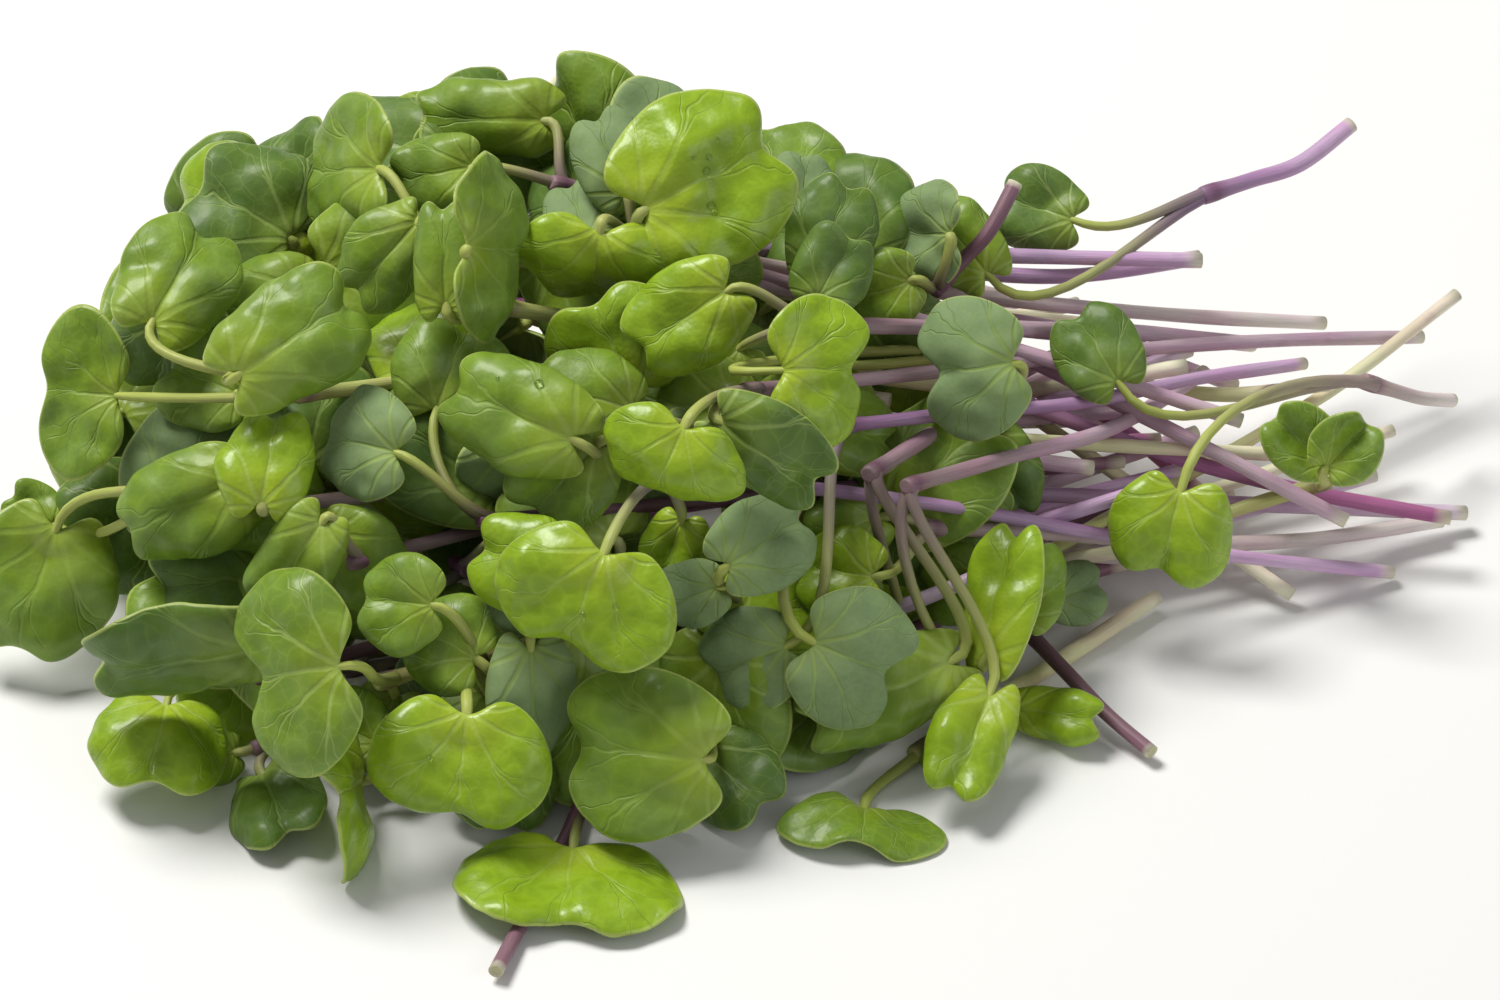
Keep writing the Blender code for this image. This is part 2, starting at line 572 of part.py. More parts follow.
def bake(piece):
    """Applies an object's modifiers."""
    bpy.context.view_layer.update()
    mesh = bpy.data.meshes.new_from_object(piece.evaluated_get(bpy.context.evaluated_depsgraph_get()))
    piece.modifiers.clear()
    old = piece.data
    piece.data = mesh
    bpy.data.meshes.remove(old)


def build_sprout(index, item, materials, home, parts_home, floor):
    """Fuses the stem, petioles and leaves of one sprout and cuts it flat where it lies."""
    name = f"sprout_{index + 1:02d}"
    stem = item["stem"]
    ahead = stem[0] - stem[1]
    stem = np.vstack([stem[0] + ahead / np.linalg.norm(ahead) * 0.5, stem[0], stem[1:]])
    radii = [0.7, 1.05] + [STEM_RADIUS] * (len(stem) - 2)
    whole = tube(name, stem, radii, 4 if item["plain"] else 6, materials, 1, home)
    for which, spec in enumerate(item["leaves"]):
        points = petiole_points(spec)
        radii = [PETIOLE_RADIUS] * (len(points) - 1) + [PETIOLE_RADIUS * 0.8]
        tube(f"{name}_petiole_{which}", points, radii, 4, materials, 1, parts_home)
        blade(f"{name}_blade_{which}", spec, materials, parts_home)
    union = whole.modifiers.new("Union", "BOOLEAN")
    union.operation = "UNION"
    union.operand_type = "COLLECTION"
    union.collection = parts_home
    union.solver = "MANIFOLD"
    bake(whole)
    for piece in list(parts_home.objects):
        bpy.data.objects.remove(piece)
    lowest = min(corner.co.z for corner in whole.data.vertices)
    if lowest < 0:
        cut = whole.modifiers.new("Floor", "BOOLEAN")
        cut.operation = "DIFFERENCE"
        cut.object = floor
        cut.solver = "MANIFOLD"
        bake(whole)
    for corner in whole.data.vertices:
        corner.co.x += HEAP_SHIFT[0] * MM
        corner.co.y += HEAP_SHIFT[1] * MM
    return whole


def main():
    for old in list(bpy.data.objects):
        bpy.data.objects.remove(old)
    home = bpy.data.collections.new("radish_cress")
    cutters = bpy.data.collections.new("cutters")
    parts_home = bpy.data.collections.new("sprout_parts")
    for collection in (home, cutters, parts_home):
        bpy.context.scene.collection.children.link(collection)
    leaf_green = principled("leaf_green", (0.10, 0.22, 0.03), 0.45)
    stems = {
        "pale": principled("stem_pale", (0.62, 0.66, 0.30), 0.4),
        "grey": principled("stem_grey", (0.66, 0.60, 0.60), 0.4),
        "mauve": principled("stem_mauve", (0.45, 0.30, 0.36), 0.4),
        "violet": principled("stem_violet", (0.42, 0.20, 0.42), 0.4),
        "magenta": principled("stem_magenta", (0.45, 0.10, 0.32), 0.4),
        "brown": principled("stem_brown", (0.16, 0.09, 0.10), 0.4),
    }
    work = bmesh.new()
    bmesh.ops.create_cube(work, size=0.4)
    bmesh.ops.translate(work, verts=work.verts, vec=(0.0, 0.0, -0.2))
    mesh = bpy.data.meshes.new("floor_cutter")
    work.to_mesh(mesh)
    work.free()
    floor = bpy.data.objects.new("floor_cutter", mesh)
    floor.display_type = "WIRE"
    floor.hide_render = True
    cutters.objects.link(floor)
    plan = arrange()
    for index, item in enumerate(plan):
        build_sprout(index, item, (leaf_green, stems[item["tone"]]), home, parts_home, floor)
    bpy.data.collections.remove(parts_home)


if __name__ == "__main__":
    main()
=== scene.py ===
"""A handful of cut radish cress, dressed for the render: fine seed leaves, stems, dew and a table.

The sprouts are laid out in millimetres by the same rules as the solids of the frame, and each
finished mesh is in metres. The leaves heap up at -X, the cut stems run out at +X, z = 0 is the table
and the photograph looks from -Y.
"""

import math
import random

import bmesh
import bpy
import numpy as np
from bpy.props import FloatProperty, FloatVectorProperty, IntProperty, PointerProperty
from bpy.types import Operator, Panel, PropertyGroup
from mathutils import Matrix, Vector, noise
from mathutils.kdtree import KDTree


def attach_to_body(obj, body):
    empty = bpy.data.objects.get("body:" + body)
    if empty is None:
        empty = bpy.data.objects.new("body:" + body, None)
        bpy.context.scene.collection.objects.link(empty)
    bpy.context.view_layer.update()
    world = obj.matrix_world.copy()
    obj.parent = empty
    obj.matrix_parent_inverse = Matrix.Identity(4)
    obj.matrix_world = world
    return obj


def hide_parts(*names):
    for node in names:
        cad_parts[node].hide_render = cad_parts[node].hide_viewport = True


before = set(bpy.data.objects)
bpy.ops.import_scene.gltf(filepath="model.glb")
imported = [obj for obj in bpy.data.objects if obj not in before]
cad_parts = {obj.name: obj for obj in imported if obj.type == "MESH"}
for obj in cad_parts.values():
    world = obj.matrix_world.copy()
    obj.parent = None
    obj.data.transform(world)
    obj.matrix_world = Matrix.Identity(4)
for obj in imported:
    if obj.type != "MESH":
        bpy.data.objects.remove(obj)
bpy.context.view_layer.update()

bl_info = {
    "name": "Radish cress",
    "version": (1, 0, 0),
    "blender": (4, 5, 0),
    "location": "View3D > Sidebar > Cress",
    "description": "Fine leaves, stems, dew and a stage for a handful of cut radish cress",
    "category": "Object",
}


MM = 0.001
# Where the middle of the picture plane lies in the frame, in millimetres.
HEAP_OFFSET = np.array([2.66, 13.8, 0.0])

# The sprouts are laid out on a picture plane: tenths of a millimetre right of and above its middle.
ELEVATION = math.radians(40)
RIGHT = np.array([1.0, 0.0, 0.0])
UP = np.array([0.0, math.sin(ELEVATION), math.cos(ELEVATION)])
NEAR = np.array([0.0, -math.cos(ELEVATION), math.sin(ELEVATION)])
PLANE_MIDDLE = (750, 500)
PLANE_STEP = 0.1
PLANE_LIFT = 3.4
CAMERA_AWAY = 900.0
CAMERA_LENS = 216.0

# The heap of leaves is a half ellipsoid, and no node or leaf foot is set lower than the last value.
HEAP_MIDDLE = -21.0
HEAP_HALF_LENGTH = 54.0
HEAP_RADIUS = 45.0
LOWEST_PLACE = 1.4

# Sprouts: how many the frame has, and their sizes in millimetres.
SPROUT_COUNT = 51
SEED = 11
STEM_RADIUS = 0.85
STEM_LIMIT = 92.0
HIDDEN_STEM_LIMIT = 42.0
STEM_KNOT_STEP = 16.0
# How far a stem bows up and near, and how far it dives under its leaves for its length.
BOW_UP = 4
BOW_NEAR = 3
STEM_DIVE = 0.08
FRONT_DIVE = 0.3
FRONT_RANK = 4
# Leaves: how much larger they are than their values, and from where they get more facets.
LEAF_GROWTH = 1.12
SMALL_WIDTH = 8.2
LONG_LEAF = 12
WIDE_LEAF = 12.5
# How high above the table a leaf stays, and how far it is turned up in a try.
TABLE_GAP = 0.3
LIFT_TRIES = 14
LIFT_TURN = 5
LONG_PETIOLE = 14
PETIOLE_ROOT = 1.2
PETIOLE_SINK = 1.6
# Where a petiole is jointed, from node to leaf; its last piece is sunk into the leaf.
PETIOLE_KNOTS = (0.0, 0.5, 1.0, 1.0)
LONG_KNOTS = (0.0, 0.35, 0.7, 1.0, 1.0)
PLAIN_KNOTS = (0.0, 1.0, 1.0)

# How sprouts are bent clear of each other: rounds, tries, and how deep hidden ones may touch.
SETTLE_ROUNDS = 700
HIDDEN_ROUNDS = 80
HIDDEN_TOUCH = 0.05
TRIES = 16
CLEAR_RADIUS = 1.15
PETIOLE_CLEAR = CLEAR_RADIUS - 0.15
BALL_STEP = 1.5
PETIOLE_BALL_STEP = 1.4
SEARCH_REACH = 3.6
SEARCH_EVERY = 10
# Which part of a push goes to the back, for leaves and for stems alone.
LEAF_LEAN = 0.9
STEM_LEAN = 0.1
PUSH_MORE = 0.04
STRIDE = 1.2
# How much of its bends a sprout loses in a round, while it is held, and how its parts even out.
HOME_PULL = 0.012
STEM_EVEN = 0.2
PETIOLE_PULL = 0.05
NODE_PULL = 0.1
# A sprout is held in full at first, then less and less.
HOLD_START = 2.2
HOLD_FALL = 3.2
HOLD_LEAST = 0.02
# How high above the table leaves and stems settle at least.
LEAF_HEIGHT = 0.15
STEM_HEIGHT = STEM_RADIUS - 0.2

# How light a leaf's green is, its own green with painted light on lit leaves and painted shade on deep ones;
# how much pale wax colour it has, partly a painted reflection of the sky; and how glossy, from 0 to 1.
LEAF_LOOKS = {
    "bright": (0.92, 0.05, 0.75),
    "mid": (0.5, 0.3, 0.5),
    "dark": (0.16, 0.3, 0.3),
    "waxy_sheen": (0.34, 0.9, 0.08),
}
# Hidden and filling leaves mostly take the mid and dark looks: painted shade for leaves deep in the heap.
HIDDEN_LOOKS = ("mid", "dark", "mid", "waxy_sheen", "dark", "bright", "mid")
FILL_LOOKS = ("mid", "dark", "bright", "dark", "waxy_sheen", "mid")

# More sprouts fill the heap, within an outline on the picture plane: its middle and half size.
FILL_MIDDLE = (545, 462)
FILL_HALF = (425, 335)
FILL_POWER = 2.6
FILL_COLUMNS = range(100, 1010, 12)
FILL_ROWS = range(120, 810, 12)
# No more are added than this, in so many tries.
FILL_COUNT = 40
FILL_TRIES = 240
FILL_ROUNDS = 50
FILL_STEM_LIMIT = 26.0
# How deep they may touch others, and how many points of petioles that show they may hide.
FILL_SLACK = 1.2
FILL_TOUCH = 0.7
FILL_HIDES = 1
HIDE_STEPS = 17
HIDE_REACH = 8
# A sprout's two leaves are drawn from the barest places, and lie this far apart.
BAREST = 60
BAREST_NEAR = 12
PAIR_APART = (70, 170)
# The long stems among them: where each is cut, its colour and between which px its leaves lie.
LONG_TRIES = 5
LONG_STEMS = (
    ((65, 457, 3), "magenta", 170, 330), ((1465, 513, 2), "lilac", 560, 980),
    ((1395, 430, 6), "pale", 560, 980), ((1327, 326, 14), "grey", 560, 980),
    ((1262, 331, 16), "magenta", 560, 980), ((1374, 474, 5), "lilac", 560, 980),
    ((1288, 590, 2), "pale", 560, 980), ((1200, 258, 24), "violet", 560, 980),
    ((1340, 520, 8), "mauve", 560, 980), ((1190, 345, 15), "lilac", 560, 980),
    ((1275, 455, 10), "pale", 560, 980), ((1230, 490, 4), "magenta", 560, 980),
    ((1150, 395, 20), "magenta", 560, 980), ((1190, 560, 2), "grey", 560, 980),
    ((1240, 420, 16), "mauve", 560, 980),
)

# How strongly each marking covers a leaf's green, from 0 to 1.
UNDER_SHOWS = 0.42
CUSHION_SHOWS = 0.16
NET_SHOWS = 0.12
VEINS_SHOW = 0.42
BACK_VEINS_SHOW = 0.6
# The wax colour is partly a painted reflection of the sky.
WAX_AND_SHEEN_SHOWS = 0.62
RIM_SHOWS = 0.55
# Where the pale rim starts and is full, as shares of the way from a leaf's middle to its edge.
RIM_BAND = (0.952, 0.985)
# How far the veins lie below the skin, for one height of its grain, and that height in metres.
VEIN_SINK = -1.3
LEAF_BUMP = 0.00007
STEM_BUMP = 0.00008
# The fan of veins, in leaf lengths: the turn between two at the foot and its growth, and widths.
FAN_TURN = 0.50
FAN_SPREAD = 0.17
FORK_TURN = 0.34
VEIN_WIDTHS = (0.030, 0.010)
FORK_WIDTH = 0.62
NET_CELLS = 6.5

# The colours of a stem at its leaf end, its middle and its cut end.
STEM_COLOURS = {
    "pale": ((0.42, 0.46, 0.13), (0.62, 0.64, 0.30), (0.80, 0.78, 0.58)),
    "grey": ((0.36, 0.27, 0.26), (0.52, 0.44, 0.42), (0.78, 0.74, 0.68)),
    "mauve": ((0.26, 0.18, 0.19), (0.42, 0.30, 0.36), (0.60, 0.46, 0.54)),
    "violet": ((0.24, 0.15, 0.25), (0.42, 0.27, 0.45), (0.60, 0.42, 0.62)),
    "magenta": ((0.36, 0.20, 0.32), (0.40, 0.17, 0.34), (0.36, 0.11, 0.25)),
    "lilac": ((0.30, 0.20, 0.30), (0.50, 0.34, 0.50), (0.72, 0.60, 0.72)),
    "brown": ((0.07, 0.035, 0.045), (0.15, 0.08, 0.10), (0.24, 0.13, 0.17)),
}
STEM_FLUSH = (1.0, 0.85, 0.97)
PETIOLE_FOOT = (0.40, 0.46, 0.10)
RIB_PALE = (0.78, 0.76, 0.66)
BLOTCH_PURPLE = (0.30, 0.08, 0.24)
CUT_RIM = (0.74, 0.71, 0.52, 1.0)
PITH = (0.52, 0.50, 0.30, 1.0)
# A cut end's wall and how deep its pith has shrunk, as shares of the stem's radius.
CUT_WALL = 0.34
CUT_DEPTH = 0.28
# The dark band of a stem's node: its colour, how deep that is, and how far from the top.
NODE_COLOUR = (0.13, 0.035, 0.09)
NODE_DEPTH = 0.72
NODE_PLACE = 1.3
# How thick fine stems are, as shares of the solids' stems.
STEM_SLIM = (0.82, 1.04)
# The radii of a petiole at shares of its way from the node into the midrib.
PETIOLE_SHARES = (0, 0.12, 0.5, 0.78, 0.88, 1.0)
PETIOLE_RADII = (0.78, 0.62, 0.55, 0.62, 0.36, 0.06)

# The share of a wide leaf's facets that small and hidden leaves have.
SMALL_DETAIL = 0.7
HIDDEN_DETAIL = 0.56
# How wide a turn of a leaf's outline its notch and its bay take, in radians, and its other forms.
NOTCH_TURN = 0.32
BAY_TURN = 0.40
FOOT_TAPER = 0.22
EDGE_WAVE = 0.02
# How deep the bay at a fine leaf's foot is and how much of the notch at its tip is left.
FOOT_BAY = 0.42
FINE_NOTCH = 0.62
# A fine leaf's swellings in millimetres: their height and how many there are in a millimetre.
BROAD_SWELL = (1.5, 0.16)
SMALL_SWELL = (0.42, 0.42)
# The cushions beside its midrib: their mean height and how much that varies from leaf to leaf.
PILLOW = (0.3, 0.27)
# How deep and wide the midrib's trough is, and how far the edge turns down.
TROUGH_DEPTH = 0.25
TROUGH_WIDTH = 0.7
EDGE_DROP = 0.55
LEAF_FLOOR = 0.26
# A blade gets thinner from this share of the way to its rim, down to a share of its thickness.
RIM_START = 0.80
RIM_THICKNESS = 0.25
# Which leaves carry dew: sprout, leaf and how many drops; and how flat a drop is.
DEWY_LEAVES = ((4, 0, 5), (17, 0, 2), (19, 0, 2), (23, 0, 1))
DROP_HEIGHT = 0.62
DROP_LIFT = 0.40


def plane_point(px, py, near):
    """A place on the picture plane, moved towards the viewer."""
    x = (px - PLANE_MIDDLE[0]) * PLANE_STEP
    v = (PLANE_MIDDLE[1] - py) * PLANE_STEP + PLANE_LIFT
    return RIGHT * x + UP * v + NEAR * near


def to_frame(place):
    """A place of the layout in the frame, in metres."""
    return Vector((place + HEAP_OFFSET) * MM)


def at_height(px, py, z):
    """The point seen at a place on the picture plane that is z above the table."""
    flat = plane_point(px, py, 0.0)
    return flat + NEAR * ((z - flat[2]) / NEAR[2])


def on_heap(px, py, sink):
    """The point seen at a place on the picture plane, sink deep in the heap of leaves."""
    x = (px - PLANE_MIDDLE[0]) * PLANE_STEP
    v = (PLANE_MIDDLE[1] - py) * PLANE_STEP + PLANE_LIFT
    across = max(0.05, 1.0 - ((x - HEAP_MIDDLE) / HEAP_HALF_LENGTH) ** 2)
    near = math.sqrt(max(0.0, HEAP_RADIUS ** 2 * across - v * v)) - sink
    point = plane_point(px, py, near)
    if point[2] < LOWEST_PLACE:
        point = at_height(px, py, LOWEST_PLACE)
    return point


def leaf(px, py, tip, length, width, pitch=0, yaw=0, cup=60, curl=25, twist=0, sink=1, notch=0.42,
         look="mid"):
    """One seed leaf: its foot, the way that its tip points, its size and its bends in degrees."""
    return dict(px=px, py=py, tip=tip, length=length, width=width, pitch=pitch, yaw=yaw, cup=cup,
                curl=curl, twist=twist, sink=sink, notch=notch, look=look)


def sprout(node, first, second, end, tone="pale", rank=9, plain=False):
    """One sprout: its node (with sink), its two leaves, its cut end (with height) and its colour."""
    return dict(node=node, leaves=(first, second), end=end, tone=tone, rank=rank, plain=plain)


SPROUTS = [
    # the top left of the heap
    sprout((455, 262, 8), leaf(392, 182, 180, 11, 15, pitch=42, cup=40, look="mid"),
           leaf(437, 240, 228, 10, 9, cup=90, sink=3), (1110, 330, 14)),
    sprout((565, 195, 9), leaf(548, 130, 178, 13, 11, cup=190, curl=20, sink=2, look="mid"),
           leaf(478, 178, 190, 8, 9, cup=60, sink=5), (1000, 300, 16), "mauve"),
    sprout((520, 300, 9), leaf(492, 262, 0, 10, 18, pitch=45, cup=30, curl=40, notch=0.75, look="mid"),
           leaf(465, 302, 92, 10, 8, cup=170, curl=10, sink=2, look="mid"), (1190, 372, 15), "pale"),
    sprout((640, 250, 9), leaf(598, 235, 262, 10, 17, cup=50, curl=110, sink=1, look="bright"),
           leaf(628, 205, 112, 9, 8, cup=80, curl=35, sink=4, look="waxy_sheen"), (1330, 325, 9), "grey"),
    sprout((655, 262, 10), leaf(660, 210, 28, 14.5, 17, pitch=6, cup=26, curl=16, sink=-1, look="bright"),
           leaf(598, 238, 108, 9, 8, pitch=30, cup=90, sink=5, look="waxy_sheen"), (1240, 352, 13), "mauve"),
    sprout((800, 312, 1), leaf(724, 284, 214, 10.5, 10.5, cup=50, curl=15, sink=0, look="bright"),
           leaf(752, 340, 222, 8.5, 9, cup=50, sink=5), (1260, 330, 9), "mauve", 4),
    sprout((1040, 322, 1), leaf(806, 279, 62, 7, 9, cup=130, curl=20, sink=1, look="dark"),
           leaf(776, 352, 2, 9, 14.5, cup=40, curl=50, notch=0.75, sink=-1, look="bright"),
           (1330, 380, 10), "pale", 2),
    sprout((845, 262, 7), leaf(818, 212, 92, 5.5, 7, cup=50, curl=60, sink=3, look="waxy_sheen"),
           leaf(832, 286, 70, 9.5, 9, cup=50, sink=4, look="dark"), (1200, 257, 20), "violet"),
    # the left end
    sprout((258, 388, 6), leaf(168, 338, 62, 12, 11.5, pitch=15, cup=50, sink=1, look="mid"),
           leaf(262, 398, 34, 14, 13, cup=105, curl=30, sink=0, look="mid"), (1050, 420, 12), "pale"),
    sprout((330, 402, 4), leaf(140, 402, 176, 7.5, 16, pitch=25, cup=-50, curl=-20, sink=0, look="mid"),
           leaf(262, 392, 160, 8, 10, cup=50, sink=7), (1080, 300, 13), "pale", 5),
    sprout((205, 486, 4), leaf(76, 522, 252, 13.5, 15, cup=55, curl=35, sink=-1, look="mid"),
           leaf(70, 518, 145, 5.5, 6, cup=40, sink=2), (1000, 440, 9), "pale", 5),
    sprout((306, 508, 4), leaf(272, 482, 203, 13.5, 11, cup=70, curl=40, sink=1, look="mid"),
           leaf(302, 512, 82, 10, 9.5, cup=80, curl=40, sink=0, look="bright"), (1120, 420, 9), "grey"),
    sprout((372, 548, 6), leaf(332, 500, 236, 10, 8, cup=80, sink=1),
           leaf(340, 512, -42, 10, 9, cup=60, sink=2), (1090, 360, 9), "mauve"),
    sprout((511, 522, 1), leaf(411, 464, 166, 9, 11, pitch=15, cup=50, curl=50, sink=0, look="waxy_sheen"),
           leaf(457, 408, 72, 9, 11, cup=50, curl=40, sink=4), (1130, 470, 10), "brown", 4),
    sprout((285, 672, 6), leaf(281, 652, 194, 16.5, 13, yaw=48, cup=60, curl=20, sink=0, look="dark"),
           leaf(184, 700, 262, 9.5, 14, pitch=-20, cup=60, curl=40, sink=1, look="bright"),
           (1010, 500, 6), "brown"),
    sprout((280, 738, 5), leaf(262, 752, 188, 6, 6.5, pitch=-15, cup=110, sink=1),
           leaf(268, 758, 300, 11, 10, pitch=-35, cup=50, sink=2, look="dark"), (900, 560, 5), "mauve"),
    sprout((414, 764, 3),
           leaf(386, 774, 235, 12, 18, pitch=-20, yaw=40, cup=40, curl=20, sink=0, look="bright"),
           leaf(398, 748, 150, 6.5, 8, cup=50, sink=4), (1020, 560, 4), "pale"),
    # the middle
    sprout((625, 462, 8), leaf(592, 440, 156, 13.5, 11.5, cup=75, curl=35, sink=-1, look="mid"),
           leaf(602, 450, 226, 9.5, 10, cup=60, curl=30, sink=1), (1160, 395, 14), "mauve"),
    sprout((748, 382, 1), leaf(684, 424, 246, 8, 14.5, cup=75, curl=60, sink=-2, look="bright"),
           leaf(716, 432, 322, 12, 10, yaw=-25, cup=70, curl=25, sink=0, look="dark"),
           (1430, 335, 8), "mauve", 3),
    sprout((672, 470, 1), leaf(620, 530, 247, 10.5, 17.5, pitch=-8, cup=45, curl=35, sink=-2, look="bright"),
           leaf(688, 520, 252, 6, 7, cup=60, sink=2, look="bright"), (1388, 572, 1.2), "violet", 3),
    sprout((615, 632, 8), leaf(594, 610, 158, 12, 10.5, cup=80, curl=30, sink=1, look="bright"),
           leaf(540, 642, 275, 11, 9, cup=40, curl=20, twist=50, sink=0, look="waxy_sheen"),
           (1200, 430, 10), "mauve"),
    sprout((508, 662, 7), leaf(498, 650, 150, 7, 10, cup=70, sink=2),
           leaf(442, 598, 176, 7.5, 10, cup=60, curl=40, sink=1), (1140, 500, 6), "brown"),
    sprout((408, 665, 8), leaf(390, 642, 187, 11, 20, cup=55, curl=55, notch=0.75, sink=-1, look="mid"),
           leaf(402, 690, 246, 8, 8.5, pitch=-10, cup=50, sink=6), (1050, 480, 5), "pale"),
    sprout((482, 662, 5), leaf(468, 714, 264, 10.5, 17, pitch=-15, cup=50, curl=45, sink=-1, look="bright"),
           leaf(528, 742, 268, 9, 10, pitch=-25, cup=50, sink=3, look="dark"), (1090, 540, 4), "pale"),
    sprout((712, 718, 5), leaf(684, 738, 174, 13.5, 16.5, pitch=-5, cup=50, curl=32, sink=-1, look="mid"),
           leaf(716, 760, 318, 9.5, 9.5, pitch=-30, cup=40, sink=2, look="dark"), (1120, 560, 3), "brown"),
    sprout((575, 792, 3), leaf(570, 816, 264, 12, 21, pitch=-42, cup=24, curl=8, sink=-2, look="bright"),
           leaf(604, 788, 30, 8, 9, pitch=-10, cup=40, sink=5), (510, 945, 1.3), "brown", 12),
    # the right of the heap
    sprout((760, 600, 5), leaf(738, 576, 32, 9, 9.5, cup=50, curl=40, sink=0, look="waxy_sheen"),
           leaf(735, 582, 198, 6, 7, cup=50, sink=1, look="waxy_sheen"), (1180, 450, 11), "violet"),
    sprout((922, 528, 7), leaf(888, 562, 172, 7.5, 9, cup=60, curl=40, sink=2, look="bright"),
           leaf(880, 536, 200, 7, 8, pitch=-10, cup=40, sink=6), (1440, 520, 2.5), "grey"),
    sprout((846, 440, 1), leaf(800, 632, 338, 9.5, 14, cup=40, curl=35, notch=0.75, sink=-1, look="waxy_sheen"),
           leaf(792, 642, 200, 8.5, 10, cup=40, curl=40, sink=0, look="waxy_sheen"), (1300, 372, 10), "violet", 2),
    sprout((882, 462, 1), leaf(950, 664, 204, 16, 10, cup=130, curl=25, sink=0),
           leaf(908, 696, 206, 17, 12, cup=50, curl=30, sink=3), (1150, 300, 16), "mauve", 1),
    sprout((894, 452, 2), leaf(972, 668, 246, 11.5, 8, cup=60, curl=20, sink=-1, look="bright"),
           leaf(1000, 676, -8, 8.5, 6, cup=70, curl=10, sink=-2, look="bright"),
           (1210, 345, 14), "mauve", 0),
    sprout((905, 742, 5), leaf(842, 776, 262, 7, 16, pitch=-30, cup=30, curl=30, sink=1),
           leaf(918, 738, 330, 7, 7, pitch=-35, cup=40, sink=4), (1150, 590, 3), "pale"),
    sprout((1020, 418, 4), leaf(996, 402, 188, 9.5, 14, cup=45, curl=45, notch=0.75, sink=-1, look="waxy_sheen"),
           leaf(1000, 436, 288, 8.5, 7, cup=40, sink=3, look="dark"), (1445, 518, 6), "magenta"),
    sprout((1355, 383, -1), leaf(1090, 398, 122, 8.5, 9, cup=45, curl=30, sink=-6, look="dark"),
           leaf(1160, 486, 256, 9, 12.5, cup=70, curl=35, sink=-8, look="bright"),
           (1455, 400, 8), "grey", 0),
    sprout((1200, 210, 0), leaf(1066, 264, 163, 8, 9, cup=50, curl=40, sink=-2, look="dark"),
           leaf(968, 292, 128, 9, 8, cup=60, sink=4), (1355, 122, 28), "violet", 4),
    sprout((930, 300, 8), leaf(938, 246, 176, 7, 11, pitch=40, cup=50, sink=0, look="waxy_sheen"),
           leaf(905, 300, 200, 7, 8, cup=40, sink=5), (1012, 187, 34), "brown"),
    sprout((1010, 560, 5), leaf(966, 640, 84, 13.5, 9, yaw=35, cup=50, sink=0, look="bright"),
           leaf(985, 560, 190, 7, 8, cup=50, sink=4), (1465, 292, 12), "pale"),
    sprout((1012, 618, 3), leaf(1000, 602, 78, 8, 8, cup=50, sink=1),
           leaf(1046, 594, 18, 5.5, 6.5, cup=40, sink=0, look="waxy_sheen"), (1140, 745, 1.3), "brown", 3),
    sprout((1322, 486, 0), leaf(1320, 466, 138, 7, 7, cup=-60, curl=-20, sink=-8),
           leaf(1318, 468, 48, 6, 7, cup=-60, curl=-20, sink=-8), (1040, 560, 5), "pale", 6),
]

# Where the stems of the hidden sprouts are cut.
FREE_ENDS = ((605, 55, 38), (65, 457, 2), (1497, 513, 1.5), (1395, 430, 6), (1300, 300, 12),
             (1240, 470, 3), (1280, 500, 8), (1210, 400, 18), (1170, 440, 4), (1350, 455, 4),
             (1230, 545, 2), (1160, 350, 5), (1190, 480, 14), (1260, 415, 12), (1140, 390, 20),
             (1120, 500, 12), (1220, 385, 3), (1310, 440, 9), (1180, 420, 8), (1100, 460, 16),
             (1050, 330, 5), (1080, 520, 18), (1000, 380, 24), (1150, 300, 3), (960, 470, 22),
             (1040, 560, 10), (1010, 300, 20), (930, 420, 26), (1090, 410, 2), (900, 540, 18))


def hidden_sprout(draw, index, end):
    """A sprout under or behind the seen ones, with its two leaves at a drawn place of the heap."""
    behind = index % 4 == 0
    if behind:
        px = 300 + 480 * index / len(FREE_ENDS) + draw.uniform(-40, 40)
        py = draw.uniform(270, 400)
        sink = draw.uniform(24, 46)
    else:
        px = 230 + 640 * ((index * 0.38) % 1.0) + draw.uniform(-50, 50)
        py = 300 + 430 * ((index * 0.62) % 1.0) + draw.uniform(-50, 50)
        sink = draw.uniform(6, 16)
    pair = []
    for side in (-1, 1):
        px_leaf = px + side * draw.uniform(35, 65)
        py_leaf = py + draw.uniform(-40, 40)
        tip = 90 - side * 90 + draw.uniform(-60, 60)
        pair.append(leaf(px_leaf, py_leaf, tip, draw.uniform(8, 13), draw.uniform(10, 16),
                         pitch=draw.uniform(-35, 35) + (100 if behind else 0),
                         yaw=draw.uniform(-30, 30), cup=draw.uniform(25, 60),
                         curl=draw.uniform(15, 40), sink=sink - draw.uniform(0, 2),
                         look=HIDDEN_LOOKS[(index * 2 + (side > 0)) % len(HIDDEN_LOOKS)]))
    tone = ("pale", "violet", "magenta", "grey", "mauve", "magenta")[index % 6]
    return sprout((px, py, sink + 4), pair[0], pair[1], end, tone, 14 + index % 5, True)


def leaf_frame(spec):
    """The foot of a leaf and its tip, side and face directions."""
    turn = math.radians(spec["tip"])
    tip = RIGHT * math.cos(turn) + UP * math.sin(turn)
    side = np.cross(tip, NEAR)
    pitch = math.radians(spec["pitch"])
    face = NEAR * math.cos(pitch) + tip * math.sin(pitch)
    tip = tip * math.cos(pitch) - NEAR * math.sin(pitch)
    yaw = math.radians(spec["yaw"])
    leaned = side * math.cos(yaw) + face * math.sin(yaw)
    face = face * math.cos(yaw) - side * math.sin(yaw)
    return on_heap(spec["px"], spec["py"], spec["sink"]), tip, leaned, face


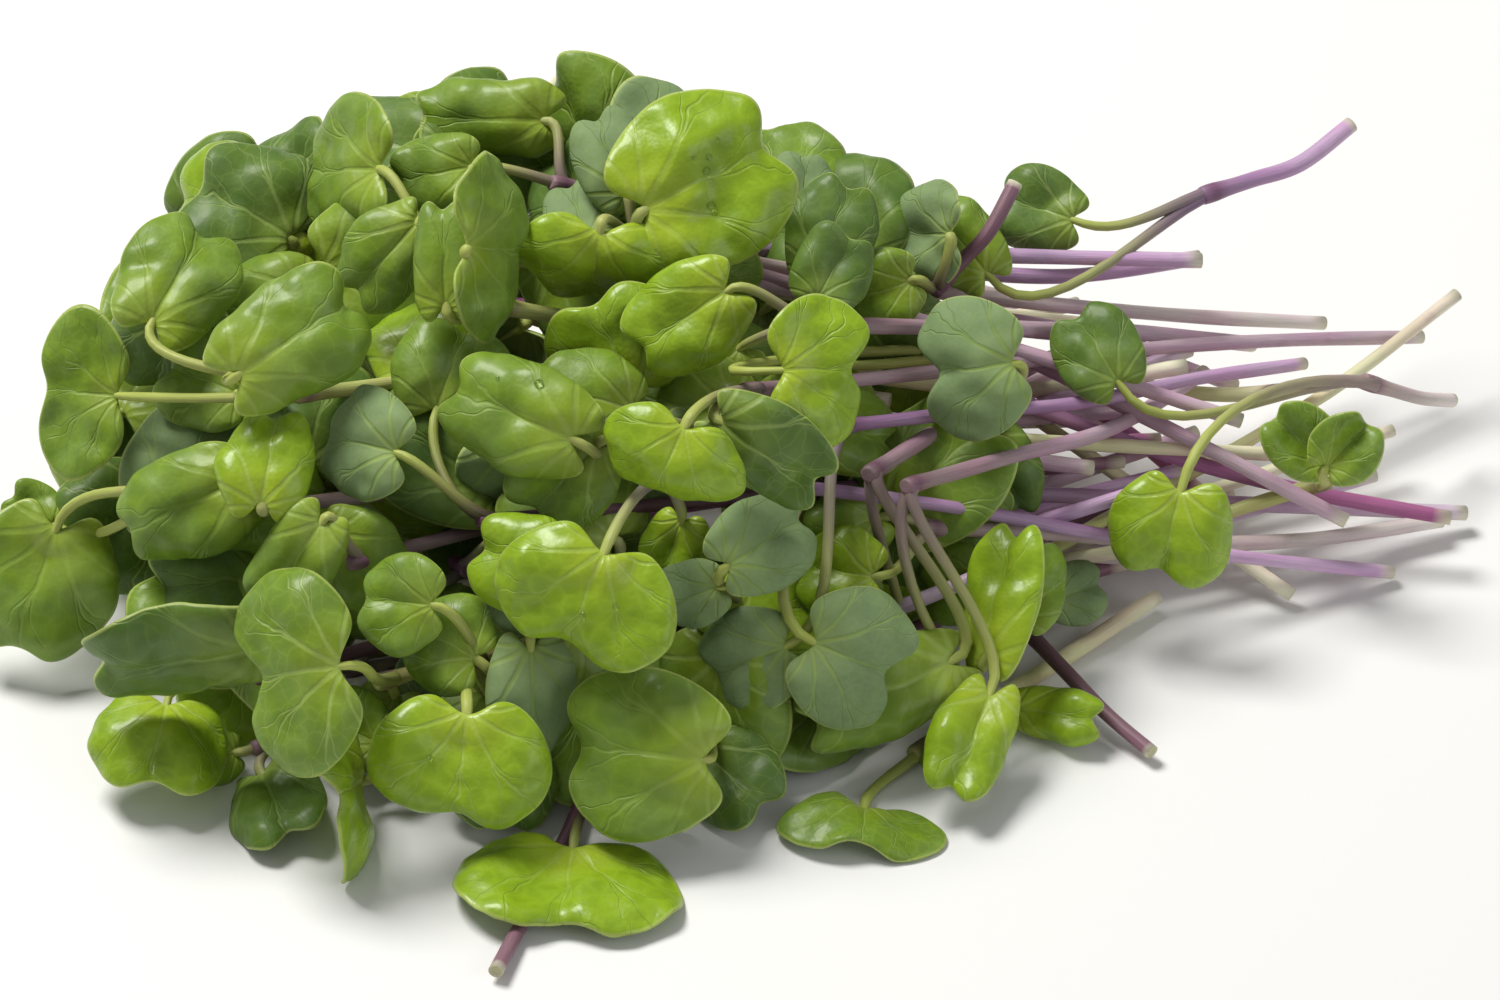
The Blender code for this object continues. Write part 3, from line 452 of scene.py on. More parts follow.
def flat_leaf(spec, p, q, fine=False):
    """A square of side 2 drawn out to a seed leaf's notched outline, with its wave, in millimetres.

    A fine one keeps its foot and tip, but its foot lies in a bay between two round shoulders.
    """
    length = spec["length"] * LEAF_GROWTH
    width = spec["width"] * LEAF_GROWTH
    round_p = p * np.sqrt(1.0 - 0.5 * q * q)
    round_q = q * np.sqrt(1.0 - 0.5 * p * p)
    out = np.hypot(round_p, round_q)
    way = np.arctan2(round_p, round_q)
    bay = FOOT_BAY if fine else 0.0
    notch = spec["notch"] * FINE_NOTCH if fine else spec["notch"]
    middle = length / (2.0 - bay)
    reach = np.full(len(way), middle)
    reach = reach * (1.0 - notch * np.exp(-(way / NOTCH_TURN) ** 2))
    reach = reach - middle * bay * np.exp(-((math.pi - np.abs(way)) / BAY_TURN) ** 2)
    shoulder = 1.0 - FOOT_TAPER * ((1.0 - np.cos(way)) / 2.0) ** 2
    x = out * np.sin(way) * shoulder * width / 2.0
    y = middle * (1.0 - bay) + out * np.cos(way) * reach
    z = EDGE_WAVE * width * np.sin(3.0 * way + spec["px"]) * out ** 3 * (1.0 + np.cos(way))
    return x, y, z, out


def leaf_points(spec, p, q, relief=0.0, fine=False):
    """Places on a seed leaf: its flat outline, cupped across, twisted and curled along."""
    length = spec["length"] * LEAF_GROWTH
    width = spec["width"] * LEAF_GROWTH
    x, y, z, _ = flat_leaf(spec, p, q, fine)
    z = z + relief
    cup = math.radians(spec["cup"])
    bow = width / cup
    x, z = (bow + z) * np.sin(x / bow), (bow + z) * np.cos(x / bow) - bow
    twist = np.radians(spec["twist"]) * y / length
    x, z = x * np.cos(twist) - z * np.sin(twist), x * np.sin(twist) + z * np.cos(twist)
    curl = math.radians(spec["curl"])
    bow = length / curl
    y, z = (bow + z) * np.sin(y / bow), (bow + z) * np.cos(y / bow) - bow
    foot, tip, side, face = spec["frame"]
    return foot + np.outer(x, side) + np.outer(y, tip) + np.outer(z, face)


def leaf_rows(spec, plain):
    """Small and hidden leaves have fewer facets along their length."""
    return 2 if plain or spec["width"] < SMALL_WIDTH else 3


def bezier(a, b, c, d, steps):
    """Points at shares of a curve that leaves a towards b and reaches d from c."""
    t = np.asarray(steps)[:, None]
    return a * (1 - t) ** 3 + b * 3 * t * (1 - t) ** 2 + c * 3 * t * t * (1 - t) + d * t ** 3


def lay_out(plan, hidden_limit=HIDDEN_STEM_LIMIT):
    """Works out every sprout's leaf frames, petiole curves and stem curve before settling."""
    draw = random.Random(SEED + 1)
    grid = np.linspace(-1, 1, 7)
    p, q = [part.ravel() for part in np.meshgrid(grid, grid)]
    for item in plan:
        item["node"] = on_heap(*item["node"])
        end = at_height(*item["end"])
        reach = np.linalg.norm(end - item["node"])
        limit = hidden_limit if item["plain"] else STEM_LIMIT
        if reach > limit:
            end = item["node"] + (end - item["node"]) * limit / reach
            end[2] = max(end[2], 2.0)
            reach = limit
        run = end - item["node"]
        bow = UP * draw.uniform(-BOW_UP, BOW_UP) + NEAR * draw.uniform(-BOW_NEAR, BOW_NEAR)
        dive = STEM_DIVE * reach * (1.0 if item["rank"] > FRONT_RANK else FRONT_DIVE)
        curve = (item["node"], item["node"] + run * 0.32 - NEAR * dive, end - run * 0.36 + bow, end)
        count = max(3, int(round(reach / STEM_KNOT_STEP)))
        item["stem"] = bezier(*curve, np.linspace(0, 1, count + 1))
        item["stem"][:, 2] = np.maximum(item["stem"][:, 2], 1.0)
        ahead = item["stem"][1] - item["node"]
        ahead = -ahead / np.linalg.norm(ahead)
        item["ahead"] = ahead
        for spec in item["leaves"]:
            spec["frame"] = leaf_frame(spec)
            # A leaf that would dip into the table is turned up until it lies on it.
            for _ in range(LIFT_TRIES):
                if leaf_points(spec, p, q)[:, 2].min() > TABLE_GAP:
                    break
                spec["pitch"] -= LIFT_TURN
                spec["frame"] = leaf_frame(spec)
            foot, tip = spec["frame"][:2]
            gap = np.linalg.norm(foot - item["node"])
            root = item["node"] - ahead * PETIOLE_ROOT
            curve = (root, item["node"] + ahead * gap * 0.25, foot - tip * gap * 0.35, foot)
            spec["curve"] = curve
            spec["knots"] = PETIOLE_KNOTS
            if gap > LONG_PETIOLE:
                spec["knots"] = LONG_KNOTS
            if item["plain"]:
                spec["knots"] = PLAIN_KNOTS
            spec["petiole"] = bezier(*curve, spec["knots"])
            spec["petiole"][-1] += tip * PETIOLE_SINK
            spec["rows"] = leaf_rows(spec, item["plain"])
    return plan


def take_samples(plan):
    """Balls that stand for the sprouts while they are bent clear, and how many handles they have.

    Each ball is a row: its place and radius, the two handles that move it and the second one's
    share, its rank, its sprout and its body.
    """
    balls = []
    handles = 0
    for index, item in enumerate(plan):
        count = len(item["stem"])
        item["handle"] = handles
        stem_rank = item["rank"] + index * 0.01
        stem_body = index * 3
        for k in range(count - 1):
            start, stop = item["stem"][k], item["stem"][k + 1]
            parts = max(2, int(np.linalg.norm(stop - start) / BALL_STEP))
            for j in range(parts + (k == count - 2)):
                t = j / parts
                balls.append((start * (1 - t) + stop * t, CLEAR_RADIUS, handles + k, handles + k + 1, t,
                              stem_rank, index, stem_body))
        for which, spec in enumerate(item["leaves"]):
            own = handles + count + which
            for point in facet_points(spec):
                balls.append((point, CLEAR_RADIUS, own, own, 0.0, spec["sink"] + index * 0.01, index,
                              index * 3 + 1 + which))
            knots = spec["knots"]
            for k in range(len(knots) - 1):
                start, stop = spec["petiole"][k], spec["petiole"][k + 1]
                parts = max(1, int(np.linalg.norm(stop - start) / PETIOLE_BALL_STEP))
                for j in range(parts):
                    s = j / parts
                    t = knots[k] * (1 - s) + knots[k + 1] * s
                    balls.append((start * (1 - s) + stop * s, PETIOLE_CLEAR, handles, own, t,
                                  min(stem_rank, spec["sink"] + 4), index, stem_body))
        handles += count + 2
    return balls, handles


def facet_points(spec):
    """Places spread over the facets that a leaf is built from."""
    rows = spec["rows"]
    p, q = np.meshgrid(np.linspace(-1, 1, 5), np.linspace(-1, 1, rows + 1))
    corners = leaf_points(spec, p.ravel(), q.ravel()).reshape(rows + 1, 5, 3)
    fine = 3 if rows == 2 or spec["length"] > LONG_LEAF else 2
    across = np.linspace(0, 4, 13 if spec["width"] > WIDE_LEAF else 9)
    along = np.linspace(0, rows, rows * fine + 1)
    found = []
    for v in along:
        j = min(int(v), rows - 1)
        row = corners[j] * (1 - (v - j)) + corners[j + 1] * (v - j)
        for u in across:
            i = min(int(u), 3)
            found.append(row[i] * (1 - (u - i)) + row[i + 1] * (u - i))
    return found


def ball_tree(points, start=0):
    """A search tree of points, numbered from start."""
    tree = KDTree(len(points))
    for i, point in enumerate(points):
        tree.insert(point, i + start)
    tree.balance()
    return tree


def near_pairs(here, owner, body, leafy, still_tree):
    """Pairs of balls that may touch: of two sprouts, of one sprout's two leaves, or with a still one."""
    tree = ball_tree(here)
    found = []
    for i, point in enumerate(here):
        for _, j, _ in tree.find_range(point, SEARCH_REACH):
            if j > i and (owner[i] != owner[j] or (leafy[i] and leafy[j] and body[i] != body[j])):
                found.append((i, j))
        found.extend((i, j) for _, j, _ in still_tree.find_range(point, SEARCH_REACH))
    return np.array(found, dtype=int).reshape(-1, 2).T


def even_out(plan, shift, hold):
    """Spreads each sprout's bends along its stem and between its node and its leaves."""
    for item in plan:
        start = item["handle"]
        count = len(item["stem"])
        line = shift[start:start + count]
        line[1:-1] += STEM_EVEN * hold * (line[:-2] + line[2:] - 2 * line[1:-1])
        pull = PETIOLE_PULL * hold * (shift[start + count:start + count + 2] - line[0])
        shift[start + count:start + count + 2] -= pull
        line[0] += pull.mean(axis=0) + NODE_PULL * hold * (line[1] - line[0])


def lift_off_table(shift, under, first, second, share):
    """Raises the handles of the balls that are under their least height."""
    lift = np.zeros(len(shift) + 1)
    low = np.flatnonzero(under > 0)
    np.maximum.at(lift, first[low], under[low] * (share[low] < 0.6))
    np.maximum.at(lift, second[low], under[low] * (share[low] > 0.4))
    shift[:, 2] += lift[:-1]


def settle(plan, still, rounds, slack=0.0):
    """Bends sprouts clear of each other, of the table and of the still ones, the deeper to the back.

    Returns the balls of the sprouts where they come to rest and how deep the worst two still touch.
    """
    balls, handles = take_samples(plan)
    rest, radius, first, second, share, rank, owner, body = (np.array(column) for column in zip(*balls))
    leafy = body % 3 > 0
    shift = np.zeros((handles, 3))
    count_here = len(rest)
    fixed = len(still[1])
    sheet = np.append(leafy, still[3])
    radius = np.append(radius, still[1])
    rank = np.append(rank, still[2])
    first = np.append(first, np.full(fixed, handles))
    second = np.append(second, np.full(fixed, handles))
    share = np.append(share, np.zeros(fixed))
    still_tree = ball_tree(still[0], count_here)

    def placed():
        one = share[:count_here, None]
        moved = shift[first[:count_here]] * (1 - one) + shift[second[:count_here]] * one
        return np.vstack([rest + moved, still[0]])

    worst = 0.0
    for turn in range(rounds):
        here = placed()
        if turn % SEARCH_EVERY == 0:
            pairs = near_pairs(here[:count_here], owner, body, leafy, still_tree)
        a, b = pairs
        away = here[a] - here[b]
        gap = np.linalg.norm(away, axis=1)
        deep = radius[a] + radius[b] - gap - slack
        touch = deep > 0
        a, b, away, gap, deep = a[touch], b[touch], away[touch], gap[touch], deep[touch]
        worst = float(deep.max()) if len(deep) else 0.0
        lean = np.where(sheet[a] | sheet[b], LEAF_LEAN, STEM_LEAN) * np.sign(rank[b] - rank[a])
        way = away / np.maximum(gap, 0.01)[:, None] + lean[:, None] * NEAR
        way /= np.maximum(np.linalg.norm(way, axis=1), 0.01)[:, None]
        push = way * (0.5 * deep + PUSH_MORE)[:, None] * np.where(b < count_here, 1.0, 2.0)[:, None]
        move = np.zeros((handles + 1, 3))
        weight = np.zeros(handles + 1)
        for ball, force in ((a, push), (b, -push)):
            for handle, part in ((first[ball], 1 - share[ball]), (second[ball], share[ball])):
                for axis in range(3):
                    move[:, axis] += np.bincount(handle, force[:, axis] * part, handles + 1)
                weight += np.bincount(handle, part, handles + 1)
        shift += STRIDE * (move / np.maximum(weight, 1.0)[:, None])[:handles]
        hold = min(1.0, max(HOLD_LEAST, HOLD_START - HOLD_FALL * turn / rounds))
        shift *= 1.0 - HOME_PULL * hold
        even_out(plan, shift, hold)
        under = np.where(leafy, LEAF_HEIGHT, STEM_HEIGHT) - placed()[:count_here, 2]
        lift_off_table(shift, under, first, second, share)
    for item in plan:
        start = item["handle"]
        count = len(item["stem"])
        item["shift"] = shift[start:start + count + 2]
    return (placed()[:count_here], radius[:count_here], rank[:count_here], leafy), worst


def keep(item):
    """Writes the settled bends of a sprout into its stem and leaves."""
    count = len(item["stem"])
    item["stem"] = item["stem"] + item["shift"][:count]
    for which, spec in enumerate(item["leaves"]):
        spec["moved"] = (item["shift"][0], item["shift"][count + which])


def arrange():
    """All sprouts where they come to rest: the seen ones together, then the hidden ones in turn."""
    plan = lay_out(SPROUTS)
    nothing = (np.zeros((0, 3)), np.zeros(0), np.zeros(0), np.zeros(0, bool))
    settled, _ = settle(plan, nothing, SETTLE_ROUNDS)
    for item in plan:
        keep(item)
    draw = random.Random(SEED)
    for index, end in enumerate(FREE_ENDS):
        for _ in range(TRIES):
            cut = (end[0] + draw.uniform(-60, 20), end[1] + draw.uniform(-40, 40), end[2])
            guess = lay_out([hidden_sprout(draw, index, cut)])
            balls, worst = settle(guess, settled, HIDDEN_ROUNDS)
            if worst < HIDDEN_TOUCH:
                break
        if worst < HIDDEN_TOUCH:
            keep(guess[0])
            plan.append(guess[0])
            settled = tuple(np.concatenate(both) for both in zip(settled, balls))
        if len(plan) == SPROUT_COUNT:
            break
    return plan, settled


def petiole_path(spec, share):
    """Points along a petiole once its two ends have settled."""
    t = share[:, None]
    return bezier(*spec["curve"], share) + (spec["moved"][0] * (1 - t) + spec["moved"][1] * t)


def picture_place(points):
    """Where points are seen on the picture plane."""
    across = points @ RIGHT / PLANE_STEP + PLANE_MIDDLE[0]
    down = PLANE_MIDDLE[1] - (points @ UP - PLANE_LIFT) / PLANE_STEP
    return np.column_stack([across, down])


def bare_places(balls):
    """Places of the heap's outline, and how far each is seen from the nearest leaf, in millimetres."""
    tree = ball_tree([(*place, 0.0) for place in picture_place(balls[0][balls[3]])])
    found = []
    for px in FILL_COLUMNS:
        for py in FILL_ROWS:
            across = abs((px - FILL_MIDDLE[0]) / FILL_HALF[0])
            down = abs((py - FILL_MIDDLE[1]) / FILL_HALF[1])
            if across ** FILL_POWER + down ** FILL_POWER < 1.0:
                found.append((tree.find((px, py, 0.0))[2] * PLANE_STEP, px, py))
    return found


def inner_leaf(draw, px, py, away, sink):
    """A leaf whose middle is seen at a place and whose tip points away from its node."""
    length = draw.uniform(10, 14)
    width = draw.uniform(12, 17)
    turn = math.radians(away)
    half = 0.5 * length * LEAF_GROWTH / PLANE_STEP
    look = FILL_LOOKS[draw.randrange(len(FILL_LOOKS))]
    return leaf(px - math.cos(turn) * half, py + math.sin(turn) * half, away, length, width,
                pitch=draw.uniform(-28, 28), yaw=draw.uniform(-28, 28), cup=draw.uniform(35, 85),
                curl=draw.uniform(20, 60), sink=sink, look=look)


def hidden_by(leaves, places, nearness):
    """Which points of the picture, at a nearness to the camera, lie behind leaves."""
    axis = np.linspace(-0.94, 0.94, HIDE_STEPS)
    across, along = [grid.ravel() for grid in np.meshgrid(axis, axis)]
    hidden = np.zeros(len(places), bool)
    for spec in leaves:
        points = fine_leaf(spec, across, along)[0]
        apart = np.linalg.norm(places[:, None] - picture_place(points)[None], axis=2)
        hidden |= ((apart < HIDE_REACH) & (nearness[:, None] < (points @ NEAR)[None])).any(axis=1)
    return hidden


def shown_petioles(plan):
    """Places and nearness of points along the petioles that show in the picture."""
    share = np.linspace(0.1, 0.9, 9)
    points = np.vstack([petiole_path(spec, share) for item in plan[:len(SPROUTS)]
                        for spec in item["leaves"]])
    places, nearness = picture_place(points), points @ NEAR
    shown = ~hidden_by([spec for item in plan for spec in item["leaves"]], places, nearness)
    return places[shown], nearness[shown]


def fill_heap(plan, settled):
    """Adds sprouts inside the heap, each with its leaves where the most of the table still shows.

    The first ones have long stems, which end where the photograph shows more of them. None has
    its leaves in front of a petiole that shows.
    """
    draw = random.Random(SEED + 3)
    added = []
    petioles = shown_petioles(plan)
    waiting = [stem for stem in LONG_STEMS for _ in range(LONG_TRIES)]
    for index in range(FILL_TRIES):
        bare = sorted(bare_places(settled))
        if waiting:
            end, tone, left, right = waiting.pop(0)
            bare = [place for place in bare if left < place[1] < right]
            limit = STEM_LIMIT
        else:
            end = (draw.uniform(1000, 1330), draw.uniform(290, 540), draw.uniform(3, 20))
            tone = ("magenta", "lilac", "mauve", "grey", "violet", "pale")[index % 6]
            limit = FILL_STEM_LIMIT
        px, py = draw.choice(bare[-BAREST:])[1:]
        near = [place for place in bare if PAIR_APART[0] < math.dist(place[1:], (px, py)) < PAIR_APART[1]]
        px_two, py_two = draw.choice(near[-BAREST_NEAR:])[1:]
        way = math.degrees(math.atan2(py - py_two, px_two - px))
        sink = draw.uniform(7, 15)
        first = inner_leaf(draw, px, py, way + 180 + draw.uniform(-35, 35), sink)
        second = inner_leaf(draw, px_two, py_two, way + draw.uniform(-35, 35), sink + draw.uniform(-2, 3))
        middle = ((px + px_two) / 2, (py + py_two) / 2, sink + 5)
        guess = lay_out([sprout(middle, first, second, end, tone, 14 + index % 5, True)], limit)
        balls, worst = settle(guess, settled, FILL_ROUNDS, FILL_SLACK)
        keep(guess[0])
        if worst < FILL_TOUCH and hidden_by(guess[0]["leaves"], *petioles).sum() <= FILL_HIDES:
            waiting = [stem for stem in waiting if stem[0] != end]
            added.append(guess[0])
            settled = tuple(np.concatenate(both) for both in zip(settled, balls))
        if len(added) == FILL_COUNT:
            break
    return added


class Wires:
    """Places and joins shader nodes: an input takes a number, a colour or a socket."""

    def __init__(self, tree):
        self.tree = tree

    def add(self, kind, out=0, feeds=(), **settings):
        node = self.tree.nodes.new(kind)
        for name, value in settings.items():
            setattr(node, name, value)
        for name, value in dict(feeds).items():
            self.feed(node.inputs[name], value)
        return node.outputs[out]

    def feed(self, entry, value):
        if isinstance(value, bpy.types.NodeSocket):
            self.tree.links.new(value, entry)
        elif isinstance(value, (tuple, list)) and entry.type == "RGBA":
            entry.default_value = (*value[:3], 1.0)
        else:
            entry.default_value = value

    def math(self, operation, *values, clamp=False):
        feeds = dict(enumerate(values))
        return self.add("ShaderNodeMath", feeds=feeds, operation=operation, use_clamp=clamp)

    def times(self, a, b):
        return self.math("MULTIPLY", a, b)

    def plus(self, a, b):
        return self.math("ADD", a, b)

    def minus(self, a, b):
        return self.math("SUBTRACT", a, b)

    def ramp(self, value, low, high, start=0.0, end=1.0):
        """Rises smoothly from start to end while value goes from low to high."""
        feeds = {"Value": value, "From Min": low, "From Max": high, "To Min": start, "To Max": end}
        return self.add("ShaderNodeMapRange", feeds=feeds, interpolation_type="SMOOTHSTEP")

    def mix(self, share, a, b, blend="MIX"):
        feeds = {0: share, 6: a, 7: b}
        return self.add("ShaderNodeMix", out=2, feeds=feeds, data_type="RGBA", blend_type=blend)

    def attribute(self, name, out="Fac"):
        return self.add("ShaderNodeAttribute", out=out, attribute_name=name)

    def split(self, vector):
        node = self.tree.nodes.new("ShaderNodeSeparateXYZ")
        self.tree.links.new(vector, node.inputs[0])
        return node.outputs[0], node.outputs[1], node.outputs[2]

    def noise(self, vector, scale, detail=2.0, rough=0.5):
        feeds = {"Vector": vector, "Scale": scale, "Detail": detail, "Roughness": rough}
        return self.add("ShaderNodeTexNoise", feeds=feeds)

    def cells(self, vector, scale, feature="F1", out="Distance"):
        feeds = {"Vector": vector, "Scale": scale}
        return self.add("ShaderNodeTexVoronoi", out=out, feeds=feeds, feature=feature)


def group(name, inputs, outputs, make):
    """A shader node group: make gets its wires and input sockets, and gives its output values by name."""
    tree = bpy.data.node_groups.new(name, "ShaderNodeTree")
    for label, (kind, value) in inputs.items():
        socket = tree.interface.new_socket(name=label, in_out="INPUT", socket_type=kind)
        if value is not None:
            socket.default_value = value
    for label, kind in outputs.items():
        tree.interface.new_socket(name=label, in_out="OUTPUT", socket_type=kind)
    source = tree.nodes.new("NodeGroupInput")
    drain = tree.nodes.new("NodeGroupOutput")
    wires = Wires(tree)
    made = make(wires, source.outputs)
    for label, value in made.items():
        wires.feed(drain.inputs[label], value)
    return tree


def use_group(wires, tree, feeds):
    """Sets a node group among the wires and gives its outputs."""
    node = wires.tree.nodes.new("ShaderNodeGroup")
    node.node_tree = tree
    for label, value in feeds.items():
        wires.feed(node.inputs[label], value)
    return node.outputs


def palmate_veins():
    """Veins that fan out from the foot of a leaf, fork once and end in a fine net."""

    def make(w, given):
        place = given["Blade"]
        x, y, seed = w.split(place)
        drift = w.noise(place, 2.6, 2.0)
        bend = w.times(w.minus(drift, 0.5), 0.62)
        reach = w.math("SQRT", w.plus(w.times(x, x), w.times(y, y)))
        turn = w.plus(w.math("ARCTAN2", x, w.plus(y, 0.03)), w.times(bend, reach))
        step = w.plus(FAN_TURN, w.times(reach, FAN_SPREAD))
        fan = w.math("DIVIDE", turn, step)
        fold = w.math("ABSOLUTE", w.math("WRAP", fan, 0.5, -0.5))
        wide = w.times(step, reach)
        main = w.times(fold, wide)
        fork = w.ramp(reach, 0.30, 1.05, 0.0, FORK_TURN)
        side = w.times(w.math("ABSOLUTE", w.minus(fold, fork)), wide)
        thick = w.times(w.ramp(reach, 0.0, 1.0, *VEIN_WIDTHS), given["Width"])
        thin = w.times(thick, FORK_WIDTH)
        trunk = w.ramp(w.math("DIVIDE", main, thick), 1.0, 0.15)
        twig = w.times(w.ramp(w.math("DIVIDE", side, thin), 1.0, 0.15), w.ramp(reach, 0.26, 0.36))
        wander = w.add("ShaderNodeTexNoise", out="Color", feeds={"Vector": place, "Scale": 5.0})
        wander = w.add("ShaderNodeVectorMath", feeds={0: wander, 3: 0.12}, operation="SCALE")
        warp = w.add("ShaderNodeVectorMath", feeds={0: place, 1: wander}, operation="ADD")
        edge = w.cells(warp, NET_CELLS, "DISTANCE_TO_EDGE")
        net = w.ramp(edge, 0.055, 0.0)
        cushion = w.ramp(edge, 0.0, 0.30)
        foot = w.ramp(reach, 0.55, 0.02)
        veins = w.math("MAXIMUM", trunk, w.times(twig, 0.8))
        return {"Veins": veins, "Net": net, "Cushion": cushion, "Foot": foot}

    inputs = {"Blade": ("NodeSocketVector", None), "Width": ("NodeSocketFloat", 1.0)}
    outputs = {"Veins": "NodeSocketFloat", "Net": "NodeSocketFloat", "Cushion": "NodeSocketFloat",
               "Foot": "NodeSocketFloat"}
    return group("Palmate veins", inputs, outputs, make)


def wax_and_sheen_patches():
    """Patchy pale wax, rubbed off in places, whose colour partly paints the sky's reflection on glossy
    leaves.
    """

    def make(w, given):
        place = given["Vector"]
        patch = w.noise(place, 230.0, 2.0, 0.6)
        dust = w.noise(place, 2600.0, 0.0, 0.6)
        cover = w.ramp(w.plus(w.times(patch, 0.75), w.times(given["Amount"], 0.7)), 0.42, 0.85)
        fine = w.plus(0.78, w.times(dust, 0.4))
        return {"Wax and sheen": w.math("MULTIPLY", w.times(cover, fine), given["Amount"], clamp=True)}

    inputs = {"Vector": ("NodeSocketVector", None), "Amount": ("NodeSocketFloat", 0.5)}
    return group("Wax and sheen patches", inputs, {"Wax and sheen": "NodeSocketFloat"}, make)


def skin_grain():
    """The pebbly relief of plant skin: round cells and soft swellings, as a height of about 1."""

    def make(w, given):
        place = given["Vector"]
        cell = w.cells(place, given["Scale"])
        swell = w.noise(place, w.times(given["Scale"], 0.22), 2.0)
        return {"Height": w.plus(w.times(w.minus(1.0, cell), 0.55), w.times(swell, 1.2))}

    inputs = {"Vector": ("NodeSocketVector", None), "Scale": ("NodeSocketFloat", 1900.0)}
    return group("Skin grain", inputs, {"Height": "NodeSocketFloat"}, make)


def blank(name):
    """A new material with only its shader, and the wires to add to it."""
    material = bpy.data.materials.new(name)
    material.use_nodes = True
    shader = material.node_tree.nodes["Principled BSDF"]
    return material, shader, Wires(material.node_tree)


def leaf_green(w, blade, tone, veins, wax_and_sheen, colours, underside):
    """A leaf's colour: dark to light green with painted shade and painted light, and its cushions, foot,
    veins, wax partly painting the sky's reflection, and rim over it.
    """
    mottle = w.noise(blade, 3.4, 2.0, 0.55)
    chance = w.add("ShaderNodeTexWhiteNoise", feeds={"W": w.split(blade)[2]}, noise_dimensions="1D")
    clear = w.plus(0.25, w.times(chance, 0.75))
    # Painted light and shade: the leaf's tone, with a random mottle, sets how far its green goes from dark
    # to light.
    shade = w.math("ADD", tone, w.times(w.minus(mottle, 0.5), 0.55), clamp=True)
    green = w.mix(shade, colours["dark"], colours["bright"])
    deep = w.times(w.times(veins["Cushion"], CUSHION_SHOWS), w.minus(1.0, veins["Foot"]))
    green = w.mix(deep, green, colours["deep"])
    if underside:
        green = w.mix(UNDER_SHOWS, green, colours["under"])
    green = w.mix(w.times(veins["Foot"], w.plus(0.16, w.times(tone, 0.5))), green, colours["foot"])
    green = w.mix(w.times(w.times(veins["Net"], clear), NET_SHOWS), green, colours["vein"])
    show = BACK_VEINS_SHOW if underside else VEINS_SHOW
    green = w.mix(w.times(w.times(veins["Veins"], clear), show), green, colours["vein"])
    # Pale wax colour, partly a painted reflection of the sky on glossy leaves.
    green = w.mix(w.times(wax_and_sheen, WAX_AND_SHEEN_SHOWS), green, colours["wax_and_sheen"])
    edge = w.ramp(w.attribute("rim"), *RIM_BAND)
    return w.mix(w.times(edge, RIM_SHOWS), green, colours["rim"])


def leaf_skin(name, groups, colours, underside):
    """Leaf tissue: its green, with painted light and shade, its wax, which is thinner on the veins and whose
    colour is partly a painted reflection of the sky, and a pebbly gloss.
    """
    material, shader, w = blank(name)
    place = w.add("ShaderNodeTexCoord", out="Object")
    blade = w.attribute("blade", "Vector")
    tone, bloom_and_sheen, gloss = w.split(w.attribute("look", "Vector"))
    veins = use_group(w, groups["veins"], {"Blade": blade, "Width": 1.2 if underside else 1.0})
    wax_and_sheen = use_group(w, groups["wax_and_sheen"], {"Vector": place, "Amount": bloom_and_sheen})["Wax and sheen"]
    grain = use_group(w, groups["grain"], {"Vector": place, "Scale": 2100.0})["Height"]
    wax_and_sheen = w.times(wax_and_sheen, w.minus(1.0, w.times(veins["Veins"], 0.5)))
    green = leaf_green(w, blade, tone, veins, wax_and_sheen, colours, underside)
    w.feed(shader.inputs["Base Color"], green)
    streak = w.noise(place, 900.0, 0.0)
    rough = w.plus(w.minus(w.plus(0.46, w.times(wax_and_sheen, 0.22)), w.times(gloss, 0.2)), w.times(streak, 0.14))
    w.feed(shader.inputs["Roughness"], rough)
    pebbles = w.times(grain, w.plus(0.35, w.times(gloss, 0.9)))
    height = w.plus(pebbles, w.times(veins["Veins"], VEIN_SINK))
    bump = w.add("ShaderNodeBump", feeds={"Height": height, "Strength": 0.75, "Distance": LEAF_BUMP},
                 invert=underside)
    w.feed(shader.inputs["Normal"], bump)
    shader.inputs["IOR"].default_value = 1.45
    shader.inputs["Specular IOR Level"].default_value = 0.32
    shader.inputs["Coat Roughness"].default_value = 0.2
    w.feed(shader.inputs["Coat Weight"], w.times(w.times(gloss, 0.36), w.minus(1.0, wax_and_sheen)))
    return material


def stem_skin(groups):
    """Stem tissue: its own colour along its length, fine lengthwise ribs and a moist surface."""
    material, shader, w = blank("Stem skin")
    place = w.add("ShaderNodeTexCoord", out="Object")
    colour = w.attribute("stem_colour", "Color")
    grain = w.attribute("grain", "Vector")
    ribs = w.noise(grain, 2.2, 3.0, 0.6)
    blotch = w.noise(place, 420.0, 3.0, 0.55)
    shade = w.mix(w.ramp(ribs, 0.38, 0.72, 0.0, 0.5), colour, RIB_PALE, "SOFT_LIGHT")
    shade = w.mix(w.ramp(blotch, 0.56, 0.8, 0.0, 0.35), shade, w.mix(0.5, colour, BLOTCH_PURPLE))
    w.feed(shader.inputs["Base Color"], shade)
    w.feed(shader.inputs["Roughness"], w.plus(0.36, w.times(blotch, 0.18)))
    skin = use_group(w, groups["grain"], {"Vector": grain, "Scale": 3.0})["Height"]
    height = w.plus(w.times(ribs, 1.6), w.times(skin, 0.5))
    bump = w.add("ShaderNodeBump", feeds={"Height": height, "Strength": 0.5, "Distance": STEM_BUMP})
    w.feed(shader.inputs["Normal"], bump)
    shader.inputs["IOR"].default_value = 1.42
    shader.inputs["Specular IOR Level"].default_value = 0.5
    return material


